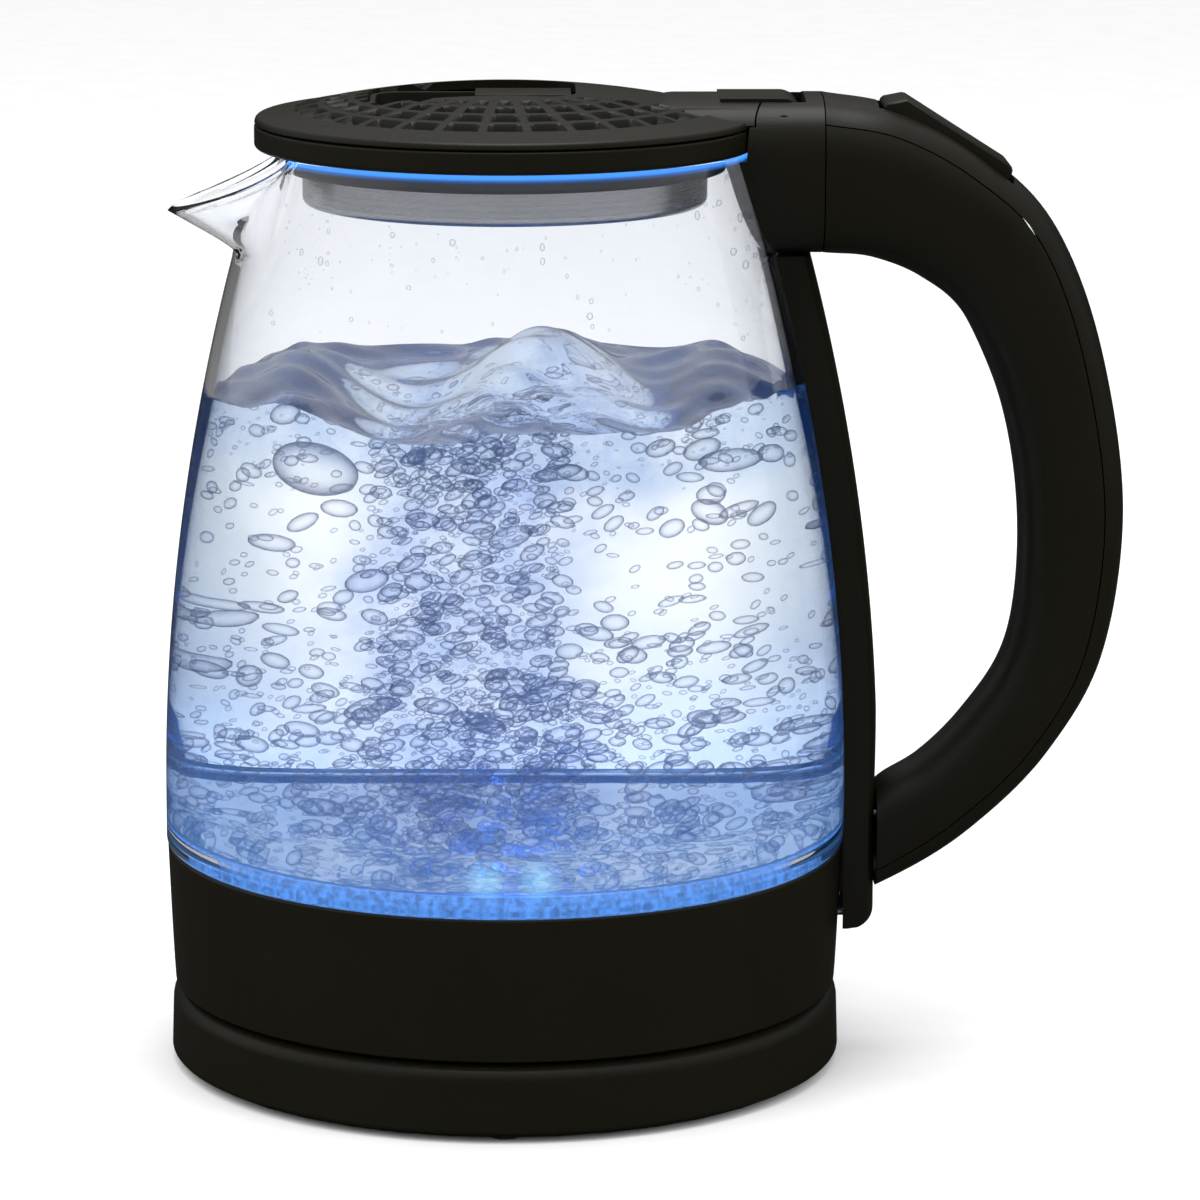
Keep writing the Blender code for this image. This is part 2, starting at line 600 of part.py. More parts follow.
def lights(parent):
    """Two small boards under the seal, each with a pair of lights."""
    ring = (SEAL_RADIUS + SEAL_BORE) / 2
    board_low, board_high = SHELF_Z + GAP, SHELF_Z + 1.4 * MM
    spread = math.degrees(LED_SPACING / ring)
    number = 0
    for board, middle in enumerate((-90.0, 90.0), 1):
        angles = np.linspace(middle - 1.1 * spread, middle + 1.1 * spread, 9)
        inner, outer = SEAL_BORE - 1.4 * MM, SHELL_BORE - 3 * MM
        outline = [around(outer, a, board_low) for a in angles]
        outline += [around(inner, a, board_low) for a in reversed(angles)]
        raised = [(x, y, board_high) for x, y, _ in outline]
        lofted(f"light_board_{board}", (outline, raised), "board", parent, smooth=False)
        for side in (-0.5, 0.5):
            number += 1
            x, y, _ = around(ring, middle + side * spread, 0.0)
            low, high = board_high + GAP, LEDGE_Z
            lens = ((0.0, high), (LED_RADIUS * 0.7, high - 0.3 * MM),
                    (LED_RADIUS, high - 0.9 * MM), (LED_RADIUS, low), (0.0, low))
            led = turned(f"light_{number}", lens, "light", None, steps=12)
            led.data.transform(Matrix.Translation((x, y, 0.0)))
            hang(led, parent)


def heater(parent):
    low = GLASS_FOOT_Z
    top = HEATER_Z
    outline = ((0.0, top), (HEATER_RADIUS - MM, top), (HEATER_RADIUS, top - MM),
               (HEATER_RADIUS, low), (HEATER_RADIUS - PLATE, low),
               (HEATER_RADIUS - PLATE, top - 1.4 * MM), (HEATER_RADIUS - 1.6 * MM,
               top - PLATE), (0.0, top - PLATE))
    turned("heater_plate", outline, "steel", parent)
    disc = ((0.0, SPREADER_Z), (SPREADER_RADIUS, SPREADER_Z),
            (SPREADER_RADIUS, SPREADER_Z - SPREADER), (0.0, SPREADER_Z - SPREADER))
    turned("heat_spreader", disc, "aluminium", parent, steps=40)
    angles = np.linspace(15, 345, 25)
    route = [around(ELEMENT_RING, a, ELEMENT_Z) for a in angles]
    first, last = Vector(route[0]), Vector(route[-1])
    bend = Vector((ELEMENT_RADIUS * 1.2, 0, -ELEMENT_RADIUS * 0.4))
    tail = Vector((ELEMENT_RADIUS * 1.8, 0, -6 * MM))
    ends = [[end + Vector((0, s * 3 * MM, 0)) + shift for shift in (tail, bend)]
            for end, s in ((first, -1), (last, 1))]
    route = ends[0] + route + ends[1][::-1]
    tube("heating_element", route, ELEMENT_RADIUS, "steel", parent)


def control(parent):
    """Dry-boil control over the coupler, with its disc pressed to the spreader."""
    low, high = COUPLER_Z + RUN, COUPLER_Z + CONTROL_HEIGHT
    half_x, half_y = CONTROL_HALF
    body = block("control_block", (-half_x, -half_y, low), (half_x, half_y, high),
                 "dark_plastic", parent)
    under = SPREADER_Z - SPREADER
    join(body, rod("control_tower", (0, 0, high - MM), (0, 0, under - 1.2 * MM), 8 * MM,
                   "steel", parent))
    rod("dry_boil_disc", (0, 0, under - 0.9 * MM), (0, 0, under - GAP), 7 * MM, "steel", parent)


# ---------------------------------------------------------------- glass jar

def jar_radius(z):
    """Outside of the glass: widest at the belly line, then drawn in along a parabola."""
    share = np.maximum((z - BELLY_Z) / (SHOULDER_Z - BELLY_Z), 0.0)
    return JAR_RADIUS - (JAR_RADIUS - SHOULDER_RADIUS) * share ** JAR_POWER


def jar_outline():
    """Closed (radius, z) loop: down the outside, under the foot, and up the inside."""
    heights = np.linspace(SHOULDER_Z, BELLY_Z, 9)
    ledge = SHELL_TOP_Z + GAP
    outside = [(NECK_RADIUS, RIM_Z), (NECK_RADIUS, NECK_Z)]
    outside += [(float(jar_radius(z)), z) for z in heights]
    outside += [(JAR_RADIUS - 0.2 * MM, ledge + 1.5 * MM), (JAR_RADIUS - 0.8 * MM, ledge),
                (GLASS_FOOT_RADIUS, ledge), (GLASS_FOOT_RADIUS, GLASS_FOOT_Z)]
    inside = [(GLASS_BORE, GLASS_FOOT_Z), (GLASS_BORE, ledge + 2 * MM)]
    inside += [(float(jar_radius(z)) - JAR_WALL, z) for z in heights[::-1]]
    inside += [(NECK_RADIUS - JAR_WALL, NECK_Z), (NECK_RADIUS - JAR_WALL, RIM_Z)]
    return np.array(outside), np.array(inside)


def spout_target(outline, root_radius, tip):
    """Where each point of the outline lies on the spout's middle line: spread evenly
    along the straight line from the spout's root to its tip."""
    share = np.clip((outline[:, 1] - SPOUT_ROOT_Z) / (RIM_Z - SPOUT_ROOT_Z), 0.0, 1.0)
    radius = root_radius + (tip[0] - root_radius) * share
    height = SPOUT_ROOT_Z + (tip[1] - SPOUT_ROOT_Z) * share
    reached = share > 0
    return np.where(reached, radius, outline[:, 0]), np.where(reached, height, outline[:, 1])


def glass_jar(parent):
    """The jar is turned, and its rim is drawn out and down into a spout at -X."""
    outside, inside = jar_outline()
    root = float(jar_radius(SPOUT_ROOT_Z))
    out_r, out_z = spout_target(outside, root, (SPOUT_TIP_RADIUS, SPOUT_TIP_Z))
    in_r, in_z = spout_target(inside, root - JAR_WALL,
                              (SPOUT_TIP_RADIUS - SPOUT_LIP, SPOUT_TIP_Z + SPOUT_LIP))
    loop = np.concatenate([outside, inside])
    target_r, target_z = np.concatenate([out_r, in_r]), np.concatenate([out_z, in_z])
    fine = np.linspace(-1, 1, 11) * SPOUT_HALF_ANGLE + math.pi
    flat = 2 * math.acos(1 - FACET_SAG / GLASS_BORE)
    count = math.ceil(2 * (math.pi - SPOUT_HALF_ANGLE) / flat) + 1
    coarse = np.linspace(SPOUT_HALF_ANGLE - math.pi, math.pi - SPOUT_HALF_ANGLE, count)[1:-1]
    bm = bmesh.new()
    rings = []
    for angle in (*fine, *coarse):
        off = angle % (2 * math.pi) - math.pi
        pull = math.cos(min(abs(off) / SPOUT_HALF_ANGLE, 1.0) * math.pi / 2)
        radius = loop[:, 0] + pull ** 2 * (target_r - loop[:, 0])
        height = loop[:, 1] + pull * (target_z - loop[:, 1])
        rings.append([bm.verts.new((r * math.cos(angle), r * math.sin(angle), z))
                      for r, z in zip(radius, height)])
    count = len(loop)
    for near, far in zip(rings, rings[1:] + rings[:1]):
        for k in range(count):
            j = (k + 1) % count
            bm.faces.new((near[k], near[j], far[j], far[k]))
    return finish("glass_jar", bm, "clear_glass", parent)


# ---------------------------------------------------------------- collar, lid

def collar_ring(parent):
    low = NECK_Z - 0.2 * MM + GAP
    roof = RIM_Z + GAP
    skirt = COLLAR_RADIUS - COLLAR_WALL
    outline = ((COLLAR_BORE, COLLAR_TOP_Z), (COLLAR_RADIUS, COLLAR_TOP_Z),
               (COLLAR_RADIUS, low + 1.6 * MM), (COLLAR_RADIUS - 0.7 * MM, low),
               (skirt, low), (skirt, roof), (COLLAR_BORE, roof))
    turned("collar_ring", outline, "black_plastic", parent)


def dome(radius):
    """Height of the lid's outside: a low parabola, crest in the middle."""
    edge = COLLAR_RADIUS - LID_ROUND
    fall = LID_CREST - LID_EDGE
    return COLLAR_TOP_Z + LID_CREST - fall * (radius / edge) ** 2


def lid_cover(parent):
    edge = COLLAR_RADIUS - LID_ROUND
    top = [(r, dome(r)) for r in np.linspace(0, edge, 5)]
    shoulder = COLLAR_TOP_Z + LID_EDGE
    inner = TIER_RADIUS + GAP
    under = [(r, dome(r) - LID_WALL) for r in np.linspace(inner, 0, 5)]
    outline = [*top, (COLLAR_RADIUS - 2.7 * MM, shoulder - 0.8 * MM),
               (COLLAR_RADIUS - 0.9 * MM, shoulder - 1.5 * MM),
               (COLLAR_RADIUS, LID_Z + 0.3 * MM), (COLLAR_RADIUS, LID_Z), (inner, LID_Z),
               *under]
    cover = turned("lid_cover", outline, "black_plastic", parent)
    join(cover, lid_plateau(parent))
    reach = HINGE_WIDTH + 5 * MM
    cut(cover, rod("nose_room", (HINGE_X, -reach, HINGE_Z), (HINGE_X, reach, HINGE_Z),
                   NOSE_RADIUS + RUN, "steel", parent, 32))
    half = HINGE_WIDTH / 2
    bridge = block("hinge_bridge", (HINGE_X - HINGE_BRIDGE, -half, PLATEAU_Z),
                   (HINGE_X, half, HINGE_Z + HINGE_RADIUS), "steel", parent)
    barrel = rod("hinge_barrel", (HINGE_X, -half - 0.01 * MM, HINGE_Z),
                 (HINGE_X, half + 0.01 * MM, HINGE_Z), HINGE_RADIUS + 0.01 * MM, "steel",
                 parent, 28)
    join(cover, bridge)
    join(cover, barrel)
    cut(cover, rod("barrel_bore", (HINGE_X, -2 * half, HINGE_Z), (HINGE_X, 2 * half, HINGE_Z),
                   HINGE_PIN + GAP, "steel", parent, 16))
    well = rounded_block("well_hole", WELL_LENGTH, WELL_WIDTH, LID_Z - MM,
                         COLLAR_TOP_Z + 2 * LID_CREST, WELL_ROUND, parent)
    cut(cover, well)
    return cover


def lid_plateau(parent):
    """Raised back of the lid, which carries the handle's outline forward over the rim."""
    row = np.array(handle_rows()[0])
    inset = HANDLE_TOP_Z - HINGE_Z - HINGE_RADIUS
    out, side = section_arc(row, inset, inset, HANDLE_TOP_Z - PLATEAU_Z, 7)
    sections = []
    for x in (PLATEAU_FRONT, HINGE_X - 2 * MM):
        row[0] = x
        sections.append(place_section(row, *mirrored(out[::-1], side[::-1])))
    return lofted("lid_plateau", sections, "black_plastic", parent)


def rounded_block(name, length, width, low, high, radius, parent):
    """Upright block with round corners, centred on the lid's finger well."""
    points = []
    for cx, cy, start in ((1, 1, 0), (-1, 1, 90), (-1, -1, 180), (1, -1, 270)):
        middle = (cx * (length / 2 - radius), cy * (width / 2 - radius))
        points += arc(middle, radius, start, start + 90, 5)
    sections = [[(WELL_CENTRE + x, y, z) for x, y in points] for z in (low, high)]
    return lofted(name, sections, "black_plastic", parent, smooth=False)


def lid_grip(parent):
    """Tray that lines the finger well, with a tongue to pull the lid up by."""
    rim = dome(math.hypot(WELL_LENGTH / 2 + abs(WELL_CENTRE), WELL_WIDTH / 2)) - 0.4 * MM
    floor = rim - WELL_DEPTH
    wall = 1.4 * MM
    tray = rounded_block("lid_grip", WELL_LENGTH - 2 * GAP, WELL_WIDTH - 2 * GAP,
                         floor - wall, rim, WELL_ROUND - GAP, parent)
    cut(tray, rounded_block("tray_hollow", WELL_LENGTH - 2 * GAP - 2 * wall,
                            WELL_WIDTH - 2 * GAP - 2 * wall, floor, rim + 5 * MM,
                            WELL_ROUND - GAP - wall, parent))
    end = WELL_CENTRE + WELL_LENGTH / 2 - GAP - wall / 2
    half = TONGUE_WIDTH / 2
    top = rim + TONGUE_RISE
    tongue = block("tongue", (end - TONGUE_LENGTH, -half, top - TONGUE), (end, half, top),
                   "steel", parent)
    join(tray, tongue)


def lid_inside(parent, cover):
    """Plastic tier with a seal round it, the steel cup under it, and two screws."""
    wall = 1.8 * MM
    top, floor = dome(TIER_RADIUS) - LID_WALL - GAP, TIER_Z + wall
    bore = TIER_RADIUS - wall
    outline = ((0.0, floor), (bore, floor), (bore, top), (TIER_RADIUS, top),
               (TIER_RADIUS, TIER_Z), (0.0, TIER_Z))
    tier = turned("lid_inner", outline, "dark_plastic", parent)
    seal_low, seal_high = RIM_Z + 2 * GAP, COLLAR_TOP_Z - GAP
    seal = ((COLLAR_BORE - GAP, seal_high), (COLLAR_BORE - GAP, seal_low),
            (TIER_RADIUS + GAP, seal_low), (TIER_RADIUS + GAP, seal_high))
    turned("lid_gasket", seal, "silicone", parent)
    top, low = TIER_Z - GAP, TIER_Z - CUP_DROP
    cup = ((CUP_RADIUS, top), (CUP_RADIUS, low + 1.6 * MM), (CUP_RADIUS - 1.6 * MM, low),
           (0.0, low))
    lining = ((0.0, low + STEEL), (CUP_RADIUS - 1.6 * MM, low + STEEL),
              (CUP_RADIUS - STEEL, low + 1.6 * MM + STEEL / 2), (CUP_RADIUS - STEEL, top))
    turned("lid_steel_cup", (*lining, *cup), "steel", parent)
    ring = CUP_RADIUS - STEEL - SCREW_HEAD - MM
    for number, degrees in enumerate((90, 270), 1):
        low_end = around(ring, degrees, floor + GAP)
        high_end = around(ring, degrees, dome(ring) - LID_WALL / 2)
        join(cover, rod("lid_boss", low_end, high_end, BOSS_RADIUS, "steel", parent, 16))
        tip = around(ring, degrees, dome(ring) - 2 * LID_WALL)
        head = around(ring, degrees, TIER_Z - GAP - 1.6 * MM)
        cut(cover, rod("lid_boss_bore", (head[0], head[1], floor - MM), tip,
                       SCREW_RADIUS + GAP, "steel", parent, 12))
        cut(tier, rod("tier_hole", (head[0], head[1], TIER_Z - MM),
                      (head[0], head[1], floor + MM), SCREW_RADIUS + GAP, "steel", parent, 12))
        screw(f"lid_screw_{number}", head, (tip[0], tip[1], tip[2] - MM), parent)


# ---------------------------------------------------------------- handle

def handle_rows(steps=2):
    """Stations down the handle, smoothed by a Catmull-Rom curve through the table's rows."""
    rows = []
    for k, (out, up, thick, wide, facing, square) in enumerate(HANDLE_STATIONS):
        start = HEAD_X + GAP if k < WIDEST_STATION else SPINE_X + GAP
        widest = HANDLE_REACH - HANDLE_STATIONS[WIDEST_STATION][2] * MM / 2
        x = start + (widest - start) * out
        z = HANDLE_FOOT_Z + (HEAD_Z - HANDLE_FOOT_Z) * up
        rows.append((x, z, thick * MM, wide * MM, math.radians(facing), square))
    rows = np.array(rows)
    before, after = 2 * rows[0] - rows[1], 2 * rows[-1] - rows[-2]
    padded = np.vstack([before, rows, after])
    smooth = []
    for k in range(len(rows) - 1):
        a, b, c, d = padded[k:k + 4]
        for t in np.arange(steps) / steps:
            smooth.append(0.5 * (2 * b + (c - a) * t + (2 * a - 5 * b + 4 * c - d) * t ** 2
                                 + (3 * b - a - 3 * c + d) * t ** 3))
    smooth.append(rows[-1])
    return np.array(smooth)


def handle_row(station):
    """The smoothed row at a station number that need not be whole."""
    steps = 20
    return handle_rows(steps)[round(station * steps)]


def section_arc(row, inset, depth_from, depth_to, count):
    """Points of a handle section's rounded outline (a superellipse) between two depths,
    each measured in from the outer side; inset makes the outline smaller all round."""
    _, _, thick, wide, _, square = row
    half_t, half_w = thick / 2 - inset, wide / 2 - inset
    level = np.clip((thick / 2 - np.array([depth_from, depth_to])) / half_t, -1, 1)
    angle = np.arccos(np.sign(level) * np.abs(level) ** (square / 2))
    angles = np.linspace(angle[0], angle[1], count)
    power = 2 / square
    out = half_t * np.sign(np.cos(angles)) * np.abs(np.cos(angles)) ** power
    side = half_w * np.abs(np.sin(angles)) ** power
    return out, side


def place_section(row, out, side):
    """Section points in the layout: out along the way the section faces, side along Y."""
    x, z, _, _, facing, _ = row
    return [(x + o * math.cos(facing), s, z + o * math.sin(facing))
            for o, s in zip(out, side)]


def mirrored(out, side):
    """An arc on one side of the section, carried on round to the other side."""
    return np.concatenate([out, out[::-1][1:]]), np.concatenate([side, -side[::-1][1:]])


def body_section(row):
    """A channel, open on its outer side at the cover's depth."""
    thick = row[2]
    outer = mirrored(*section_arc(row, 0.0, COVER_DEPTH, thick, 7))
    inner = mirrored(*section_arc(row, HANDLE_WALL, COVER_DEPTH, thick - HANDLE_WALL, 5))
    return place_section(row, np.concatenate([outer[0], inner[0][::-1]]),
                         np.concatenate([outer[1], inner[1][::-1]]))


def cover_section(row):
    """The strip that closes the channel, hollow on its inner side."""
    deep = COVER_DEPTH - GAP
    out, side = section_arc(row, 0.0, 0.0, deep, 5)
    outer = mirrored(out[::-1], side[::-1])
    out, side = section_arc(row, HANDLE_WALL, HANDLE_WALL, deep, 4)
    inner = mirrored(out[::-1], side[::-1])
    return place_section(row, np.concatenate([outer[0], inner[0][::-1]]),
                         np.concatenate([outer[1], inner[1][::-1]]))


def handle(parent, seat, screws):
    rows = handle_rows()
    body = lofted("handle_body", [body_section(row) for row in rows], "black_plastic", parent)
    cover = lofted("handle_cover", [cover_section(row) for row in rows], "black_plastic",
                   parent)
    opening = block("rocker_opening", (-ROCKER_HALF_LENGTH - MM, -ROCKER_HALF_WIDTH - RUN,
                                       -1.0 * MM),
                    (ROCKER_HALF_LENGTH + MM, ROCKER_HALF_WIDTH + RUN,
                     ROCKER_PIVOT_DEPTH + 14 * MM), "steel", seat)
    cut(cover, opening)
    foot_z = screws[0][0][2]
    wide = HANDLE_STATIONS[-1][3] * MM / 2 - HANDLE_WALL - 0.6 * MM
    boss = block("foot_boss", (SPINE_X + GAP + 0.8 * MM, -wide, foot_z - 2.6 * MM),
                 (SPINE_X + 9.2 * MM, wide, foot_z + 2.6 * MM), "steel", parent)
    join(body, boss)
    for head, tip in screws:
        cut(body, rod("foot_bore", head, tip + Vector((MM, 0, 0)), SCREW_RADIUS + GAP,
                      "steel", parent, 12))


def clearance_tool(parent):
    """Solid of revolution a little larger than the jar, the collar and the lid."""
    heights = np.linspace(NECK_Z - MM, HEAD_Z - HEAD_THICKNESS / 2 - 20 * MM, 9)
    bulk = COLLAR_RADIUS + 2 * GAP
    high = HANDLE_TOP_Z + 20 * MM
    outline = [(0.0, high), (bulk, high), (bulk, NECK_Z - 0.9 * MM)]
    outline += [(float(jar_radius(z)) + RUN, z) for z in heights]
    outline += [(0.0, heights[-1])]
    return turned("jar_room", outline, "steel", parent)


def hinge_bracket(parent):
    """Block behind the lid that carries the hinge pin and starts the handle's outline."""
    row = np.array(handle_rows()[0])
    sections = []
    for x in (HINGE_X - 20 * MM, HEAD_X):
        row[0] = x
        out, side = section_arc(row, 0.0, 0.0, row[2], 9)
        out, side = mirrored(out, side)
        sections.append(place_section(row, out[:-1], side[:-1]))
    bracket = lofted("hinge_bracket", sections, "black_plastic", parent)
    cut(bracket, clearance_tool(parent))
    half = HINGE_WIDTH / 2 + RUN
    room = HINGE_RADIUS + RUN
    front, high, floor = HINGE_X - 20 * MM, HINGE_Z + 20 * MM, PLATEAU_Z - GAP
    axis = (HINGE_X, HINGE_Z)
    dip = math.degrees(math.asin((HINGE_Z - floor) / room))
    slot = [(front, high), (front, floor), *arc(axis, room, 180 + dip, 360, 13),
            (HINGE_X + room, high)]
    cut(bracket, extruded("barrel_slot", slot, half, "steel", parent))
    dip = math.degrees(math.asin((HINGE_Z - floor) / NOSE_RADIUS))
    ahead = [(HINGE_X, high), (front, high), (front, floor),
             *arc(axis, NOSE_RADIUS, 180 + dip, 90, 9)]
    cut(bracket, extruded("lid_room", ahead, HINGE_WIDTH + 5 * MM, "steel", parent))
    pin_half = half + 5 * MM
    cut(bracket, rod("pin_bore", (HINGE_X, -pin_half - GAP, HINGE_Z),
                     (HINGE_X, 30 * MM, HINGE_Z), HINGE_PIN + GAP, "steel", parent, 16))
    rod("lid_hinge_pin", (HINGE_X, -pin_half, HINGE_Z), (HINGE_X, pin_half, HINGE_Z),
        HINGE_PIN, "steel", parent, 12)
    cut(bracket, rod("steam_way", (HINGE_X, 0, HINGE_Z - 2 * MM),
                     (HEAD_X + 5 * MM, 0, HINGE_Z - 2 * MM), 2 * MM, "steel", parent, 16))


def spine_outer(z):
    """The spine's outer face: a set depth off the glass, upright beside the foot."""
    rounding = SPINE_ROUND - math.sqrt(max(SPINE_ROUND ** 2
                                           - max(SPINE_BOTTOM_Z + SPINE_ROUND - z, 0) ** 2, 0))
    if z < BELLY_Z:
        return SPINE_X - rounding
    blend = min((z - BELLY_Z) / (20 * MM), 1.0)
    depth = SPINE_FOOT_DEPTH + (SPINE_DEPTH - SPINE_FOOT_DEPTH) * blend
    return float(jar_radius(z)) + depth


def handle_spine(parent, wire_tool, spine_screws, handle_screws):
    """Strap against the glass, hollowed to the jar's curve on its inner face."""
    half = SPINE_WIDTH / 2
    top = HEAD_Z - HEAD_THICKNESS / 2 - GAP
    low = SPINE_BOTTOM_Z
    heights = [low, low + 0.8 * MM, low + 2 * MM, low + SPINE_ROUND, SHELL_TOP_Z + 5 * MM,
               *np.linspace(BELLY_Z, top, 9)]
    sides = np.linspace(-half, half, 9)
    sections = []
    for z in heights:
        inner_r = (float(jar_radius(z)) if z > SHELL_TOP_Z else JAR_RADIUS) + RUN
        inner = [(math.sqrt(inner_r ** 2 - y ** 2), y, z) for y in sides[::2]]
        edge = inner[0][0] + MM
        face = spine_outer(z)
        outer = [(edge + (face - edge) * (1 - abs(y / half) ** 4) ** 0.25, y, z)
                 for y in sides[::-1]]
        sections.append(inner + outer)
    spine = lofted("handle_spine", sections, "black_plastic", parent)
    cut(spine, wire_tool)
    for head, tip in spine_screws:
        cut(spine, rod("spine_bore", head, tip + Vector((MM, 0, 0)), SCREW_RADIUS + GAP,
                       "steel", parent, 12))
    for head, tip in handle_screws:
        screw_hole(spine, head, tip, parent=parent)


def wire_route():
    """Down the hollow handle, through the spine, and in under the shelf to the control."""
    rows = handle_rows()
    inside = [(row[0], 0.0, row[1]) for row in rows[5:-3]]
    middle = JAR_RADIUS + SPINE_FOOT_DEPTH / 2
    low = SHELF_UNDER_Z - 2.4 * MM
    turn_in = SPINE_X + WIRE_TURN * HANDLE_STANDOFF
    below = [(turn_in, 0.0, HANDLE_FOOT_Z - 0.5 * MM),
             (SPINE_X + 2 * MM, 0.0, HANDLE_FOOT_Z - MM),
             (middle + 1.4 * MM, 0.0, HANDLE_FOOT_Z - 4 * MM),
             (middle, 0.0, HANDLE_FOOT_Z - 9 * MM), (middle - 0.4 * MM, 0.0, low + 4 * MM),
             (middle - 2.6 * MM, 0.0, low + 0.8 * MM), (JAR_RADIUS - 3 * MM, 0.0, low),
             (JAR_RADIUS - 10 * MM, 0.0, low), (50 * MM, 0.0, low),
             (22.4 * MM, 0.0, low)]
    return inside + below


def switch(seat, parent):
    """Rocker, its pin, and the steam switch under it, in the frame of the handle's slope.
    The frame's origin is the pivot: x runs down the slope and z out of the handle."""
    reach, lift = ROCKER_HALF_LENGTH, ROCKER_PIVOT_DEPTH
    outline = [(-reach, lift - 1.2 * MM), (4 * MM - reach, lift + 2.2 * MM),
               (reach - 2.2 * MM, lift + 0.7 * MM), (reach - 0.8 * MM, lift + 0.2 * MM),
               (reach, lift - 2.6 * MM), (reach - 6 * MM, lift - 4.6 * MM),
               *arc((0, 0), 2.8 * MM, -20, -160, 5), (6 * MM - reach, lift - 5 * MM),
               (0.2 * MM - reach, lift - 2.8 * MM)]
    rocker = extruded("switch_rocker", outline, ROCKER_HALF_WIDTH, "black_plastic", seat)
    across = ROCKER_HALF_WIDTH * 2
    cut(rocker, rod("rocker_bore", (0, -across, 0), (0, across, 0), ROCKER_PIN + GAP, "steel",
                    seat, 12))
    bevel(rocker, 0.7 * MM, 1)
    near, far = ROCKER_HALF_WIDTH + RUN, ROCKER_HALF_WIDTH + RUN + 1.6 * MM
    rod("rocker_pin", (0, -far + GAP, 0), (0, far - GAP, 0), ROCKER_PIN, "steel", seat, 12)
    housing = block("switch_housing", (-14 * MM, -far, -14.5 * MM), (12 * MM, far, -4 * MM),
                    "dark_plastic", seat)
    cut(housing, block("rocker_room", (-20 * MM, -near, -5.2 * MM), (20 * MM, near, 5 * MM),
                       "steel", seat))
    for side in (-1, 1):
        low, high = sorted((side * near, side * far))
        join(housing, block("cheek", (-2.8 * MM, low, -5 * MM), (2.8 * MM, high, 1.9 * MM),
                            "steel", seat))
    cut(housing, rod("cheek_bore", (0, -across, 0), (0, across, 0), ROCKER_PIN + GAP, "steel",
                     seat, 12))
    rod("steam_disc", (-15 * MM, 0, -9.5 * MM), (-14.4 * MM, 0, -9.5 * MM), 6 * MM, "steel",
        seat)


def build():
    clear_scene()
    kettle = empty("kettle_axis", (AXIS_X, 0.0, 0.0))
    lid_axis = empty("lid_hinge_axis", (HINGE_X, 0.0, HINGE_Z), kettle)
    row = handle_row(ROCKER_STATION)
    before, after = handle_row(ROCKER_STATION - 0.15), handle_row(ROCKER_STATION + 0.15)
    outside = [(r[0] + r[2] / 2 * math.cos(r[4]), r[1] + r[2] / 2 * math.sin(r[4]))
               for r in (before, row, after)]
    slope = math.atan2(outside[0][1] - outside[2][1], outside[2][0] - outside[0][0])
    pivot = (outside[1][0] - ROCKER_PIVOT_DEPTH * math.sin(slope), 0.0,
             outside[1][1] - ROCKER_PIVOT_DEPTH * math.cos(slope))
    seat = empty("rocker_axis", pivot, kettle, slope)
    seat["own_frame"] = True

    base_shell(kettle)
    base_plate(kettle)
    feet(kettle)
    connector(kettle)
    cord_inlet(kettle)
    coupler(kettle)

    screw_z = SPINE_BOTTOM_Z + 3.2 * MM
    inside = SHELL_FOOT_RADIUS - SHELL_WALL - 3.0 * MM
    spine_screws = [(Vector((inside, y, screw_z)), Vector((SPINE_X - 3 * MM, y, screw_z)))
                    for y in (-8 * MM, 8 * MM)]
    foot_z = HANDLE_FOOT_Z + 6.2 * MM
    handle_screws = [(Vector((JAR_RADIUS + 1.2 * MM, y, foot_z)),
                      Vector((SPINE_X + 8 * MM, y, foot_z))) for y in (-6 * MM, 6 * MM)]
    route = wire_route()
    tube("switch_wires", route, WIRE_RADIUS, "wire", kettle)
    room = tube("wire_room", route[len(route) - 10:], WIRE_RADIUS + 0.6 * MM, "wire", kettle)

    lower_shell(kettle, room, spine_screws)
    seal_and_ring(kettle)
    lights(kettle)
    heater(kettle)
    control(kettle)
    glass_jar(kettle)
    collar_ring(kettle)
    cover = lid_cover(lid_axis)
    lid_grip(lid_axis)
    lid_inside(lid_axis, cover)
    handle(kettle, seat, handle_screws)
    hinge_bracket(kettle)
    handle_spine(kettle, room, spine_screws, handle_screws)
    for number, (head, tip) in enumerate(spine_screws, 1):
        screw(f"spine_screw_{number}", head, tip, kettle)
    for number, (head, tip) in enumerate(handle_screws, 1):
        screw(f"handle_screw_{number}", head, tip, kettle)
    switch(seat, kettle)


build()
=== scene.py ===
"""Looks of the cordless glass kettle: smooth shells, ribbed light ring, pocketed lid, lit water.

Every piece is a surface worked out as whole arrays: a closed outline turned round the kettle's
axis, or a section carried along the handle. Sizes and places come from the frame's own boxes.
"""

import json
import math

import bmesh
import bpy
import numpy as np
from mathutils import Matrix, Vector

